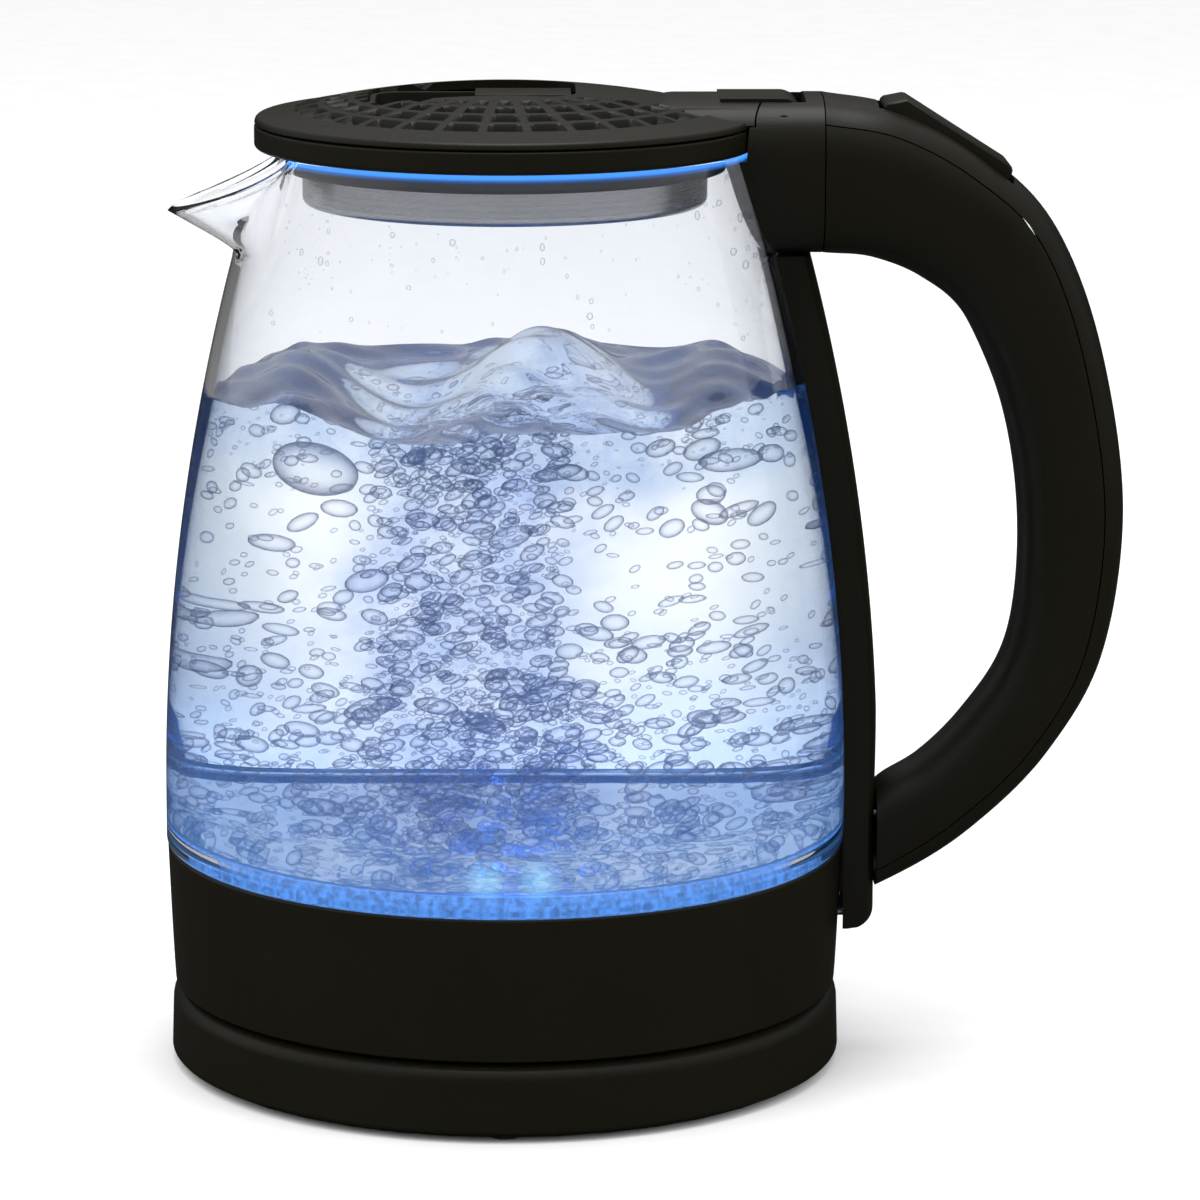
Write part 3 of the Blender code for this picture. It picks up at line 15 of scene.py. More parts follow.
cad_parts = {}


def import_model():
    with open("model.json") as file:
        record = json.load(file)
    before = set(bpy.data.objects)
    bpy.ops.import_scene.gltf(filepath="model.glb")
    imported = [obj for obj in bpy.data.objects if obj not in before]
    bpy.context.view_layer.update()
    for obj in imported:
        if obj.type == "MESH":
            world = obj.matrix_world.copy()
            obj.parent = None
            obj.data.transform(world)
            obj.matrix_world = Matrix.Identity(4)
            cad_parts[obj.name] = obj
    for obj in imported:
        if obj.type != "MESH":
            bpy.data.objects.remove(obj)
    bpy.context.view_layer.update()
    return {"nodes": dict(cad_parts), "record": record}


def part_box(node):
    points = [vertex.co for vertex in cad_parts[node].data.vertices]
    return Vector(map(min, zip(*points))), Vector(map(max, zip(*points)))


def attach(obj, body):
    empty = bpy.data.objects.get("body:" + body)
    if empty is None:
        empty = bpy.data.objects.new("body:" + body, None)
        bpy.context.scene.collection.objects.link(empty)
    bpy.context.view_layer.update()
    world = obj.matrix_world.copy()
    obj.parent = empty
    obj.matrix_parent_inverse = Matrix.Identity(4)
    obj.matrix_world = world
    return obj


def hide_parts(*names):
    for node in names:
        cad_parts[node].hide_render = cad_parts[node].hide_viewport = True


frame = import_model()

MM = 0.001
TURN = 2 * math.pi
GAP = 0.3 * MM
RUN = 0.4 * MM

RECORD = frame["record"]
BODY_OF = {n: body for body, nodes in RECORD["behaviour"]["bodies"].items() for n in nodes}
SLOT_OF = {part["node"]: part["material_slot"] for part in RECORD["subparts"]}
JOINT = {joint["name"]: joint for joint in RECORD["behaviour"]["joints"]}


def low(node):
    return np.array(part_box(node)[0])


def high(node):
    return np.array(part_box(node)[1])


def radius_of(node):
    """Half of a round piece's depth, from front to back."""
    return (high(node)[1] - low(node)[1]) / 2


# Places and sizes read from the frame
AXIS_X = float(low("base_top_shell")[0] + high("base_top_shell")[0]) / 2
HINGE_X = JOINT["lid_hinge"]["pos_m"][0] - AXIS_X
HINGE_Z = JOINT["lid_hinge"]["pos_m"][2]
BASE_RADIUS = radius_of("base_top_shell")
BASE_LOW, BASE_TOP = low("base_top_shell")[2], high("base_top_shell")[2]
SHELL_LOW, SHELL_TOP = low("lower_shell")[2], high("lower_shell")[2]
JAR_RADIUS = radius_of("glass_jar")
JAR_FOOT, RIM_Z = low("glass_jar")[2], high("glass_jar")[2]
COLLAR_RADIUS = radius_of("collar_ring")
COLLAR_LOW, COLLAR_TOP = low("collar_ring")[2], high("collar_ring")[2]
LID_LOW = COLLAR_TOP + RUN
HEATER_RADIUS, HEATER_TOP = radius_of("heater_plate"), high("heater_plate")[2]
HEATER_LOW = low("heater_plate")[2]
RING_LOW, RING_TOP = low("light_ring")[2], high("light_ring")[2]
RING_RADIUS = radius_of("light_ring")
TIER_Z, TIER_TOP = low("lid_inner")[2], high("lid_inner")[2]
CUP_LOW, CUP_TOP = low("lid_steel_cup")[2], high("lid_steel_cup")[2]
CUP_RADIUS = radius_of("lid_steel_cup")
HEAD_X = high("hinge_bracket")[0] - AXIS_X
HANDLE_TOP = high("hinge_bracket")[2]
HANDLE_REACH = high("handle_cover")[0] - AXIS_X
SPINE_X = JAR_RADIUS + 7.2 * MM
SPINE_LOW, SPINE_TOP = low("handle_spine")[2], high("handle_spine")[2]
SPINE_HALF = radius_of("handle_spine")

# Walls and shapes
BASE_WALL = 2.2 * MM
SHELL_WALL = 2.0 * MM
JAR_WALL = 2.5 * MM
NECK_HEIGHT = 2.8 * MM
NECK_STEP = 1.6 * MM
BELLY_Z = 66.0 * MM
SHOULDER_RADIUS = COLLAR_RADIUS - 1.8 * MM
SPOUT_TIP_RADIUS = SHOULDER_RADIUS + 22.3 * MM
JAR_POWER = 1.97
SPOUT_ROOT_Z = 195.5 * MM
SPOUT_TIP_Z = 204.1 * MM
SPOUT_HALF_ANGLE = math.radians(30)
SPOUT_LIP = 1.1 * MM
LID_CREST = 8.9 * MM
LID_EDGE = 2.8 * MM
LID_ROUND = 5.8 * MM
LID_WALL = 2.0 * MM
HINGE_RADIUS = 5.0 * MM
HINGE_HALF = 10.7 * MM
HINGE_BORE = 1.8 * MM
WELL = (48.5 * MM, 34.0 * MM, -7.75 * MM, 8.0 * MM)     # length, width, middle, corner
GLASS_FOOT_RADIUS = JAR_RADIUS - SHELL_WALL - RUN

PLATEAU_FRONT = 35.0 * MM
PLATEAU_Z = LID_LOW + 0.9 * MM
NOSE_RADIUS = HINGE_RADIUS + 1.4 * MM

BASE_DRAFT = 0.5 * MM           # the base's side leans in by this much
SHELL_TAPER = 1.9 * MM
SHELL_LIP = 0.3 * MM
LEDGE_DROP = 2.8 * MM           # the seal's ledge below the glass
SHELF_DROP = 6.0 * MM           # the shelf under the lights below the glass
RING_WIDTH = 3.2 * MM
RIBS, RIB_DEPTH = 96, 0.5 * MM
PLATE_WALL = 1.0 * MM
TIER_WALL = 1.8 * MM
CUP_WALL = 0.8 * MM
BRIDGE_FRONT = PLATEAU_FRONT + 15 * MM
SPINE_FOOT_ROUND = 4.0 * MM
SPINE_DEPTH = 7.8 * MM          # strap's thickness above the belly

# Water, and where the two front lights show in it as a painted glow
WATER_LEVEL = 162 * MM
WATER_FLOOR = HEATER_TOP + 0.3 * MM
WET = 0.25 * MM                 # the water reaches this far into the glass, so no air shows
LIT_SPOTS = [(AXIS_X + x, -math.sqrt((JAR_RADIUS - 5 * MM) ** 2 - x ** 2), RING_TOP + 4 * MM)
             for x in (-4.3 * MM, 7.2 * MM)]

# Studio: lamp watts, and how bright each side of the room looks to what mirrors it
LAMPS = (("key", (-0.9, -0.9, 1.3), 9, 0.9), ("fill", (1.2, -0.7, 0.9), 6, 0.8),
         ("overhead", (0, 0.1, 1.7), 12, 0.9))
CEILING, LEFT_PANEL, RIGHT_PANEL, DARK_SIDE = 0.45, 0.45, 0.25, 0.02
MIRRORED_BEHIND = 0.38          # share of that dimness kept after a clear surface

# Handle sections from the bracket round to the foot: how far out and how high, as fractions;
# thickness and width in millimetres; the way the section faces; how square its outline is.
STATIONS = np.array((
    (0.000, 1.000, 36.6, 40.0, 90.0, 3.3),
    (0.245, 0.986, 35.1, 38.5, 80.0, 3.1),
    (0.507, 0.938, 32.2, 34.0, 63.0, 2.9),
    (0.740, 0.856, 30.2, 29.5, 47.0, 2.7),
    (0.918, 0.689, 26.0, 26.5, 16.0, 2.6),
    (1.000, 0.488, 25.0, 26.0, -2.0, 2.6),
    (0.930, 0.291, 23.0, 26.0, -11.0, 2.6),
    (0.684, 0.161, 22.6, 26.0, -24.0, 2.6),
    (0.358, 0.065, 21.4, 25.5, -52.0, 2.8),
    (0.000, 0.000, 24.1, 25.0, -90.0, 3.2),
))
WIDEST = 5
HANDLE_WALL = 2.2 * MM
COVER_DEPTH = 5.5 * MM


# ---------------------------------------------------------------- surfaces

def surface(name, points, finish, wrap=(True, True), caps=False, crease=32):
    """Mesh of a grid of points, rows by columns; wrap says which way the grid closes on
    itself, and caps puts a flat face on its first and last row."""
    rows, columns = points.shape[:2]
    index = np.arange(rows * columns).reshape(rows, columns)
    if wrap[0]:
        index = np.vstack([index, index[:1]])
    if wrap[1]:
        index = np.hstack([index, index[:, :1]])
    quads = np.stack([index[:-1, :-1], index[:-1, 1:], index[1:, 1:], index[1:, :-1]], -1)
    faces = quads.reshape(-1, 4).tolist()
    if caps:
        faces += [index[0, :columns].tolist(), index[-1, :columns].tolist()]
    mesh = bpy.data.meshes.new(name)
    mesh.from_pydata(points.reshape(-1, 3), [], faces)
    return placed(name, mesh, finish, crease)


def placed(name, mesh, finish, crease=32):
    """Merges doubled points, turns the faces outwards and puts the mesh in the scene."""
    bm = bmesh.new()
    bm.from_mesh(mesh)
    bmesh.ops.remove_doubles(bm, verts=bm.verts, dist=2e-6)
    bmesh.ops.recalc_face_normals(bm, faces=bm.faces)
    bm.to_mesh(mesh)
    bm.free()
    mesh.shade_smooth()
    mesh.set_sharp_from_angle(angle=math.radians(crease))
    piece = bpy.data.objects.new(name, mesh)
    bpy.context.scene.collection.objects.link(piece)
    mesh.materials.append(finish)
    return piece


def turned(outline, steps=192):
    """Each (radius, height) of the outline carried round: x = axis + r cos a, y = r sin a."""
    angle = np.arange(steps) * TURN / steps
    r, z = np.asarray(outline, float).T
    return np.stack([AXIS_X + np.outer(np.cos(angle), r), np.outer(np.sin(angle), r),
                     np.broadcast_to(z, (steps, len(r)))], -1)


def rounded(corners, radii, steps=6):
    """Closed outline with an arc at each corner that meets both its edges, and a point just
    past each end of the arc, so that the flat stretches stay flat. Where s runs from 0 to 1
    an arc point is centre + (sin((1 - s)f) start + sin(s f) end) / sin f, f being its angle."""
    corners = np.asarray(corners, float)
    radii = np.broadcast_to(radii, len(corners))
    share = np.linspace(0, 1, steps)[:, None]
    out = []
    for k, (corner, radius) in enumerate(zip(corners, radii)):
        back, ahead = corners[k - 1] - corner, corners[(k + 1) % len(corners)] - corner
        if radius <= 0 or corner[0] < 1e-9:
            out.append(corner[None])
            continue
        reach = 0.46 * min(np.linalg.norm(back), np.linalg.norm(ahead))
        u, v = back / np.linalg.norm(back), ahead / np.linalg.norm(ahead)
        half = math.acos(np.clip(u @ v, -1, 1)) / 2
        if half > 1.55:
            out.append(corner[None])
            continue
        along = min(radius / math.tan(half), reach)
        middle = corner + (u + v) / np.linalg.norm(u + v) * along / math.cos(half)
        start, end = corner + u * along - middle, corner + v * along - middle
        sweep = math.pi - 2 * half
        arc = middle + (np.sin((1 - share) * sweep) * start
                        + np.sin(share * sweep) * end) / math.sin(sweep)
        guard = min(0.2 * MM, reach * 0.15)
        out += [(corner + u * (along + guard))[None], arc, (corner + v * (along + guard))[None]]
    return np.concatenate(out)


def stand_for(piece, *nodes):
    """The piece shows in place of CAD nodes, on their body."""
    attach(piece, BODY_OF[nodes[0]])
    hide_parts(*nodes)
    return piece


def lathe(name, node, corners, radii, steps=192):
    """A turned piece with rounded edges that stands for one CAD node."""
    outline = rounded(corners, radii)
    closes = outline[0, 0] > 1e-9
    piece = surface(name, turned(outline, steps), FINISH[SLOT_OF[node]], wrap=(True, closes))
    return stand_for(piece, node)


def baked(piece):
    """Applies a piece's modifiers to its mesh."""
    graph = bpy.context.evaluated_depsgraph_get()
    mesh = bpy.data.meshes.new_from_object(piece.evaluated_get(graph), depsgraph=graph)
    piece.modifiers.clear()
    piece.data = mesh
    return piece


def shaped(piece, tools, operation="DIFFERENCE", crease=32):
    """Cuts or joins other solids, which are then removed."""
    for other in tools:
        change = piece.modifiers.new("shape", "BOOLEAN")
        change.operation = operation
        change.solver = "EXACT"
        change.object = other
    baked(piece)
    for other in tools:
        bpy.data.objects.remove(other)
    piece.data.shade_smooth()
    piece.data.set_sharp_from_angle(angle=math.radians(crease))
    return piece


def bar(start, end, radius, steps=48):
    """A round bar between two points: points start + s (end - start) + r (cos a, sin a)."""
    start, end = np.asarray(start, float), np.asarray(end, float)
    way = (end - start) / np.linalg.norm(end - start)
    side = np.cross(way, (0, 0, 1) if abs(way[2]) < 0.9 else (1, 0, 0))
    side /= np.linalg.norm(side)
    up = np.cross(way, side)
    angle = np.arange(steps)[:, None] * TURN / steps
    ring = radius * (np.cos(angle) * side + np.sin(angle) * up)
    return surface("bar", np.stack([start + ring, end + ring]), FINISH["black_plastic"],
                   wrap=(False, True), caps=True)


def prism(outline, half, finish=None):
    """A flat (x, z) outline carried along Y, from -half to +half."""
    x, z = np.asarray(outline, float).T
    sides = np.stack([np.stack([x + AXIS_X, np.full(len(x), y), z], -1) for y in (-half, half)])
    return surface("prism", sides, finish or FINISH["black_plastic"], wrap=(False, True),
                   caps=True, crease=30)


def softened(name, node, width, segments=3):
    """A CAD piece's own faces, merged flat, with rounded edges."""
    mesh = frame["nodes"][node].data.copy()
    bm = bmesh.new()
    bm.from_mesh(mesh)
    bmesh.ops.remove_doubles(bm, verts=bm.verts, dist=2e-6)
    bmesh.ops.dissolve_limit(bm, angle_limit=math.radians(1), verts=bm.verts, edges=bm.edges)
    bm.to_mesh(mesh)
    bm.free()
    if "custom_normal" in mesh.attributes:
        mesh.attributes.remove(mesh.attributes["custom_normal"])
    mesh.materials.clear()
    piece = placed(name, mesh, FINISH[SLOT_OF[node]], crease=40)
    edge = piece.modifiers.new("edges", "BEVEL")
    edge.width = width
    edge.segments = segments
    edge.limit_method = "ANGLE"
    edge.angle_limit = math.radians(40)
    edge.use_clamp_overlap = True
    baked(piece)
    piece.data.shade_smooth()
    piece.data.set_sharp_from_angle(angle=math.radians(40))
    return stand_for(piece, node)


# ---------------------------------------------------------------- finishes

class Nodes:
    """Adds nodes to a tree by type, with their settings and inputs, and links them."""

    def __init__(self, tree):
        self.tree = tree

    def add(self, kind, settings=(), **inputs):
        node = self.tree.nodes.new(f"ShaderNode{kind}")
        for key, value in dict(settings).items():
            setattr(node, key, value)
        for key, value in inputs.items():
            self.set(node, key.replace("_", " "), value)
        return node

    def set(self, node, key, value):
        numbered = key[0] == "i" and key[1:].isdigit()
        socket = node.inputs[int(key[1:]) if numbered else key]
        if isinstance(value, bpy.types.NodeSocket):
            self.tree.links.new(value, socket)
        else:
            socket.default_value = value

    def math(self, operation, *values, clamp=False):
        node = self.add("Math", {"operation": operation, "use_clamp": clamp})
        for k, value in enumerate(values):
            self.set(node, f"i{k}", value)
        return node.outputs[0]

    def noise(self, vector, scale, detail=3.0, roughness=0.5):
        return self.add("TexNoise", Vector=vector, Scale=scale, Detail=detail,
                        Roughness=roughness).outputs["Fac"]

    def ramp(self, value, stops):
        """A colour ramp with (place, colour) stops."""
        node = self.add("ValToRGB", Fac=value)
        stop = node.color_ramp.elements
        while len(stop) < len(stops):
            stop.new(0.5)
        for element, (place, colour) in zip(stop, stops):
            element.position = place
            element.color = (*colour, 1.0)
        return node.outputs["Color"]

    def blend(self, factor, first, second):
        """Colour mix: the first at 0 and the second at 1."""
        node = self.add("Mix", {"data_type": "RGBA"})
        for socket, value in ((node.inputs[0], factor), (node.inputs[6], first),
                              (node.inputs[7], second)):
            if isinstance(value, bpy.types.NodeSocket):
                self.tree.links.new(value, socket)
            else:
                socket.default_value = value
        return node.outputs[2]


def group(name, inputs, outputs):
    """An empty node group with (name, socket type, default) inputs."""
    tree = bpy.data.node_groups.new(name, "ShaderNodeTree")
    for label, kind, default in inputs:
        socket = tree.interface.new_socket(label, in_out="INPUT", socket_type=kind)
        socket.default_value = default
    for label, kind in outputs:
        tree.interface.new_socket(label, in_out="OUTPUT", socket_type=kind)
    nodes = Nodes(tree)
    start = tree.nodes.new("NodeGroupInput")
    end = tree.nodes.new("NodeGroupOutput")
    return tree, nodes, start.outputs, end.inputs


def moulded_effect():
    """Moulded plastic: fine spark-eroded grain, soft blotches where it has been handled, and
    a little dust that settles on faces that look up."""
    tree, n, given, out = group(
        "moulded plastic",
        [("Colour", "NodeSocketColor", (0.02, 0.02, 0.02, 1)), ("Dust", "NodeSocketFloat", 0.3),
         ("Roughness", "NodeSocketFloat", 0.4), ("Grain", "NodeSocketFloat", 0.2),
         ("Grain size", "NodeSocketFloat", 0.35 * MM)],
        [("Colour", "NodeSocketColor"), ("Roughness", "NodeSocketFloat"),
         ("Normal", "NodeSocketVector")])
    place = n.add("TexCoord").outputs["Object"]
    scale = n.math("DIVIDE", 1.0, given["Grain size"])
    grain = n.noise(place, scale, 2.0, 0.6)
    blotch = n.noise(place, 38.0, 4.0, 0.55)
    facing = n.add("SeparateXYZ", Vector=n.add("NewGeometry").outputs["Normal"]).outputs["Z"]
    up = n.math("POWER", n.math("MAXIMUM", facing, 0.0), 3.0)
    specks = n.math("GREATER_THAN", n.noise(place, 900.0, 1.0), 0.66)
    dust = n.math("MULTIPLY", n.math("MULTIPLY", up, given["Dust"]),
                  n.math("ADD", 0.06, n.math("MULTIPLY", specks, 0.10)))
    tone = n.math("ADD", 0.85, n.math("MULTIPLY", blotch, 0.3))
    varied = n.add("VectorMath", {"operation": "SCALE"}, Scale=tone)
    n.set(varied, "i0", given["Colour"])
    n.tree.links.new(n.blend(dust, varied.outputs[0], (0.28, 0.26, 0.22, 1)), out["Colour"])
    rough = n.math("ADD", given["Roughness"],
                   n.math("MULTIPLY", n.math("SUBTRACT", blotch, 0.5), 0.22))
    n.tree.links.new(rough, out["Roughness"])
    bump = n.add("Bump", Strength=given["Grain"], Distance=0.06 * MM, Height=grain)
    n.tree.links.new(bump.outputs["Normal"], out["Normal"])
    return tree


def spun_effect():
    """Spun metal: fine rings round the kettle's axis. The grain reads noise at the distance
    from the axis, and barely at the angle, with broader clouds of wear."""
    tree, n, given, out = group(
        "spun metal",
        [("Colour", "NodeSocketColor", (0.6, 0.6, 0.6, 1)),
         ("Roughness", "NodeSocketFloat", 0.3), ("Depth", "NodeSocketFloat", 0.2)],
        [("Colour", "NodeSocketColor"), ("Roughness", "NodeSocketFloat"),
         ("Normal", "NodeSocketVector")])
    place = n.add("TexCoord").outputs["Object"]
    off = n.add("VectorMath", {"operation": "SUBTRACT"})
    n.set(off, "i0", place)
    n.set(off, "i1", (AXIS_X, 0.0, 0.0))
    part = n.add("SeparateXYZ", Vector=off.outputs[0])
    away = n.math("SQRT", n.math("ADD", n.math("POWER", part.outputs["X"], 2.0),
                                 n.math("POWER", part.outputs["Y"], 2.0)))
    rings = n.noise(n.add("CombineXYZ", X=away, Z=part.outputs["Z"]).outputs[0], 2600.0, 2.0, 0.7)
    cloud = n.noise(place, 30.0, 4.0)
    shade = n.math("ADD", 0.86, n.math("MULTIPLY", rings, 0.28))
    varied = n.add("VectorMath", {"operation": "SCALE"}, Scale=shade)
    n.set(varied, "i0", given["Colour"])
    n.tree.links.new(varied.outputs[0], out["Colour"])
    rough = n.math("ADD", given["Roughness"],
                   n.math("MULTIPLY", n.math("ADD", rings, n.math("SUBTRACT", cloud, 1.0)), 0.18))
    n.tree.links.new(rough, out["Roughness"])
    bump = n.add("Bump", Strength=given["Depth"], Distance=0.02 * MM, Height=rings)
    n.tree.links.new(bump.outputs["Normal"], out["Normal"])
    return tree


def blank(name):
    made = bpy.data.materials.new(name)
    made.use_nodes = True
    made.node_tree.nodes.clear()
    return made, Nodes(made.node_tree)


def output(n, shader):
    n.tree.links.new(shader, n.add("OutputMaterial").inputs["Surface"])


def with_effect(name, effect, values, **constants):
    """A Principled material whose colour, roughness and normal come from a node group."""
    made, n = blank(name)
    use = n.tree.nodes.new("ShaderNodeGroup")
    use.node_tree = effect
    for key, value in values.items():
        use.inputs[key].default_value = value
    shader = n.add("BsdfPrincipled", Base_Color=use.outputs["Colour"],
                   Roughness=use.outputs["Roughness"], Normal=use.outputs["Normal"])
    for key, value in constants.items():
        shader.inputs[key.replace("_", " ")].default_value = value
    output(n, shader.outputs[0])
    return made


def see_through(name, shader_of, colour):
    """A clear material that lets light through to what is inside it: shadow rays pass."""
    made, n = blank(name)
    light = n.add("LightPath")
    through = n.add("BsdfTransparent", Color=(*colour, 1.0))
    mixed = n.add("MixShader", i0=light.outputs["Is Shadow Ray"], i1=shader_of(n),
                  i2=through.outputs[0])
    output(n, mixed.outputs[0])
    return made


def clear_glass():
    def shader(n):
        place = n.add("TexCoord").outputs["Object"]
        wave = n.add("Bump", Strength=0.04, Distance=0.4 * MM, Height=n.noise(place, 22.0, 1.0))
        film = n.math("MULTIPLY", n.noise(place, 55.0, 4.0, 0.6), 0.02)
        height = n.add("SeparateXYZ", Vector=place).outputs["Z"]
        # Painted glow: the glass just under the collar gives off blue light, though it is no lamp.
        neck = n.add("MapRange", Value=height, From_Min=COLLAR_LOW - 2.0 * MM,
                     From_Max=COLLAR_LOW - 0.8 * MM).outputs[0]
        painted_glow = n.blend(neck, (0, 0, 0, 1), (0.04, 0.22, 0.75, 1))
        return n.add("BsdfPrincipled", Base_Color=(0.93, 0.945, 0.97, 1.0), Roughness=film, IOR=1.47,
                     Transmission_Weight=1.0, Emission_Color=painted_glow, Emission_Strength=1.0,
                     Normal=wave.outputs["Normal"]).outputs[0]
    return see_through("clear_glass", shader, (0.95, 0.96, 1.0))


def glowing(name, colour, strength, pitch, lit_from=None):
    """Lit clear plastic with the streaks of its ribs; past a radius only, if one is given."""
    made, n = blank(name)
    place = n.add("TexCoord").outputs["Object"]
    streak = n.noise(place, 1.0 / pitch, 2.0)
    tone = n.ramp(streak, ((0.35, tuple(0.45 * c for c in colour)), (0.65, colour)))
    if lit_from:
        part = n.add("SeparateXYZ", Vector=place)
        x = n.math("SUBTRACT", part.outputs["X"], AXIS_X)
        away = n.math("SQRT", n.math("ADD", n.math("MULTIPLY", x, x), n.math(
            "MULTIPLY", part.outputs["Y"], part.outputs["Y"])))
        tone = n.blend(n.math("GREATER_THAN", away, lit_from), (0.02, 0.05, 0.12, 1), tone)
        colour = (0.05, 0.09, 0.18)
    shader = n.add("BsdfPrincipled", Base_Color=(*colour, 1.0), Roughness=0.25,
                   Emission_Color=tone, Emission_Strength=strength)
    output(n, shader.outputs[0])
    return made


def board_green():
    made, n = blank("board")
    place = n.add("TexCoord").outputs["Object"]
    tracks = n.math("GREATER_THAN", n.add("TexBrick", {"offset": 0.5}, Vector=place,
                                          Scale=420.0).outputs["Fac"], 0.5)
    tone = n.blend(tracks, (0.02, 0.13, 0.05, 1), (0.05, 0.25, 0.1, 1))
    shader = n.add("BsdfPrincipled", Base_Color=tone, Roughness=0.35)
    output(n, shader.outputs[0])
    return made


def finishes():
    moulded, spun = moulded_effect(), spun_effect()
    black = (0.0060, 0.0054, 0.0022, 1)
    return {
        "black_plastic": with_effect("black_plastic", moulded, {
            "Colour": black, "Roughness": 0.40, "Grain": 0.25, "Dust": 0.25},
            Specular_IOR_Level=0.30),
        "dark_plastic": with_effect("dark_plastic", moulded, {
            "Colour": (0.012, 0.012, 0.012, 1), "Roughness": 0.5, "Grain": 0.4, "Dust": 0.1}),
        "clear_glass": clear_glass(),
        "steel": with_effect("steel", spun, {
            "Colour": (0.58, 0.58, 0.6, 1), "Roughness": 0.27, "Depth": 0.3}, Metallic=1.0),
        "aluminium": with_effect("aluminium", spun, {
            "Colour": (0.7, 0.7, 0.72, 1), "Roughness": 0.42, "Depth": 0.2}, Metallic=1.0),
        "brass": with_effect("brass", spun, {
            "Colour": (0.68, 0.48, 0.18, 1), "Roughness": 0.3, "Depth": 0.2}, Metallic=1.0),
        "rubber": with_effect("rubber", moulded, {
            "Colour": (0.012, 0.012, 0.012, 1), "Roughness": 0.75, "Grain": 0.5}),
        "silicone": with_effect("silicone", moulded, {
            "Colour": (0.28, 0.33, 0.5, 1), "Roughness": 0.5, "Grain": 0.1, "Dust": 0.0},
            Subsurface_Weight=0.2),
        "light_guide": glowing("light_guide", (0.09, 0.34, 1.0), 0.95, 1.6 * MM, RING_RADIUS - 1.2 * MM),
        "board": board_green(),
        "light": glowing("light", (0.3, 0.65, 1.0), 9.0, 1.0 * MM),
        "wire": with_effect("wire", moulded, {
            "Colour": (0.012, 0.012, 0.014, 1), "Roughness": 0.5, "Grain": 0.2, "Dust": 0.0}),
    }


# ---------------------------------------------------------------- power base and lower shell

def power_base():
    """Leaning side, full round at the top edge and a small one at the foot."""
    top_radius = BASE_RADIUS - BASE_DRAFT
    collar = radius_of("base_connector") - 6.0 * MM + GAP
    wall = BASE_WALL
    corners = [(collar, BASE_TOP), (top_radius, BASE_TOP), (BASE_RADIUS, BASE_LOW),
               (BASE_RADIUS - wall, BASE_LOW), (top_radius - wall, BASE_TOP - wall),
               (collar, BASE_TOP - wall)]
    shell = lathe("base_shell", "base_top_shell", corners,
                  (0.4 * MM, 3.4 * MM, 1.6 * MM, 0.2 * MM, 1.2 * MM, 0.3 * MM), steps=240)
    inlet = (low("cord_inlet_bush") + high("cord_inlet_bush")) / 2
    reach = high("cord_inlet_bush")[1] + 5 * MM
    bore = (high("cord_inlet_bush")[0] - low("cord_inlet_bush")[0]) / 2 - 0.6 * MM
    shaped(shell, [bar((inlet[0], inlet[1] - 9 * MM, inlet[2]), (inlet[0], reach, inlet[2]), bore)])
    for number in range(1, 5):
        node = f"foot_{number}"
        middle = (low(node) + high(node)) / 2
        size, top = radius_of(node), high(node)[2]
        corners = [(0, top), (size, top), (size, 0), (0, 0)]
        points = turned(rounded(corners, (0, 0.4 * MM, 0.7 * MM, 0)), 48)
        points[..., 0] += middle[0] - AXIS_X
        points[..., 1] += middle[1]
        stand_for(surface(f"rubber_foot_{number}", points, FINISH["rubber"],
                          wrap=(True, False)), node)


def shell_side(z):
    """Outside of the lower shell, widening from its foot to the jar."""
    share = np.clip((z - SHELL_LOW) / (SHELL_TOP - SHELL_LOW), 0, 1)
    foot = JAR_RADIUS - SHELL_TAPER
    return foot + (JAR_RADIUS - SHELL_LIP - foot) * share ** 0.8


def lower_body():
    """Skirt: its side follows shell_side, and its top edge is a thin lip round the glass."""
    bore = JAR_RADIUS - SHELL_WALL
    foot_bore = shell_side(SHELL_LOW) - SHELL_WALL
    ledge, shelf = JAR_FOOT - LEDGE_DROP, JAR_FOOT - SHELF_DROP
    heights = np.linspace(SHELL_TOP - 1.2 * MM, SHELL_LOW + 1.2 * MM, 14)
    side = np.stack([shell_side(heights), heights], -1)
    edge = rounded([(bore, SHELL_TOP), (shell_side(SHELL_TOP), SHELL_TOP), side[0]],
                   (0.3 * MM, 0.8 * MM, 0))[:-1]
    foot = rounded([side[-1], (shell_side(SHELL_LOW), SHELL_LOW), (foot_bore, SHELL_LOW)],
                   (0, 0.9 * MM, 0.3 * MM))[1:]
    inner = [(foot_bore, shelf - 2 * MM), (bore - 9.4 * MM, shelf - 2 * MM),
             (bore - 9.4 * MM, shelf), (bore - 2.4 * MM, shelf), (bore - 2.4 * MM, ledge),
             (bore, ledge)]
    outline = np.concatenate([edge, side, foot, inner])
    shell = surface("skirt", turned(outline, 240), FINISH["black_plastic"])
    wire_z = shelf - 4.4 * MM
    tools = [bar((AXIS_X + JAR_RADIUS - 8 * MM, 0, wire_z), (AXIS_X + JAR_RADIUS + 5 * MM, 0, wire_z),
                 2.4 * MM)]
    for number in (1, 2):
        middle = (low(f"spine_screw_{number}") + high(f"spine_screw_{number}")) / 2
        tools.append(bar((AXIS_X + JAR_RADIUS - 4.6 * MM, middle[1], middle[2]),
                         (AXIS_X + JAR_RADIUS + 5 * MM, middle[1], middle[2]), 1.1 * MM))
    stand_for(shaped(shell, tools), "lower_shell")


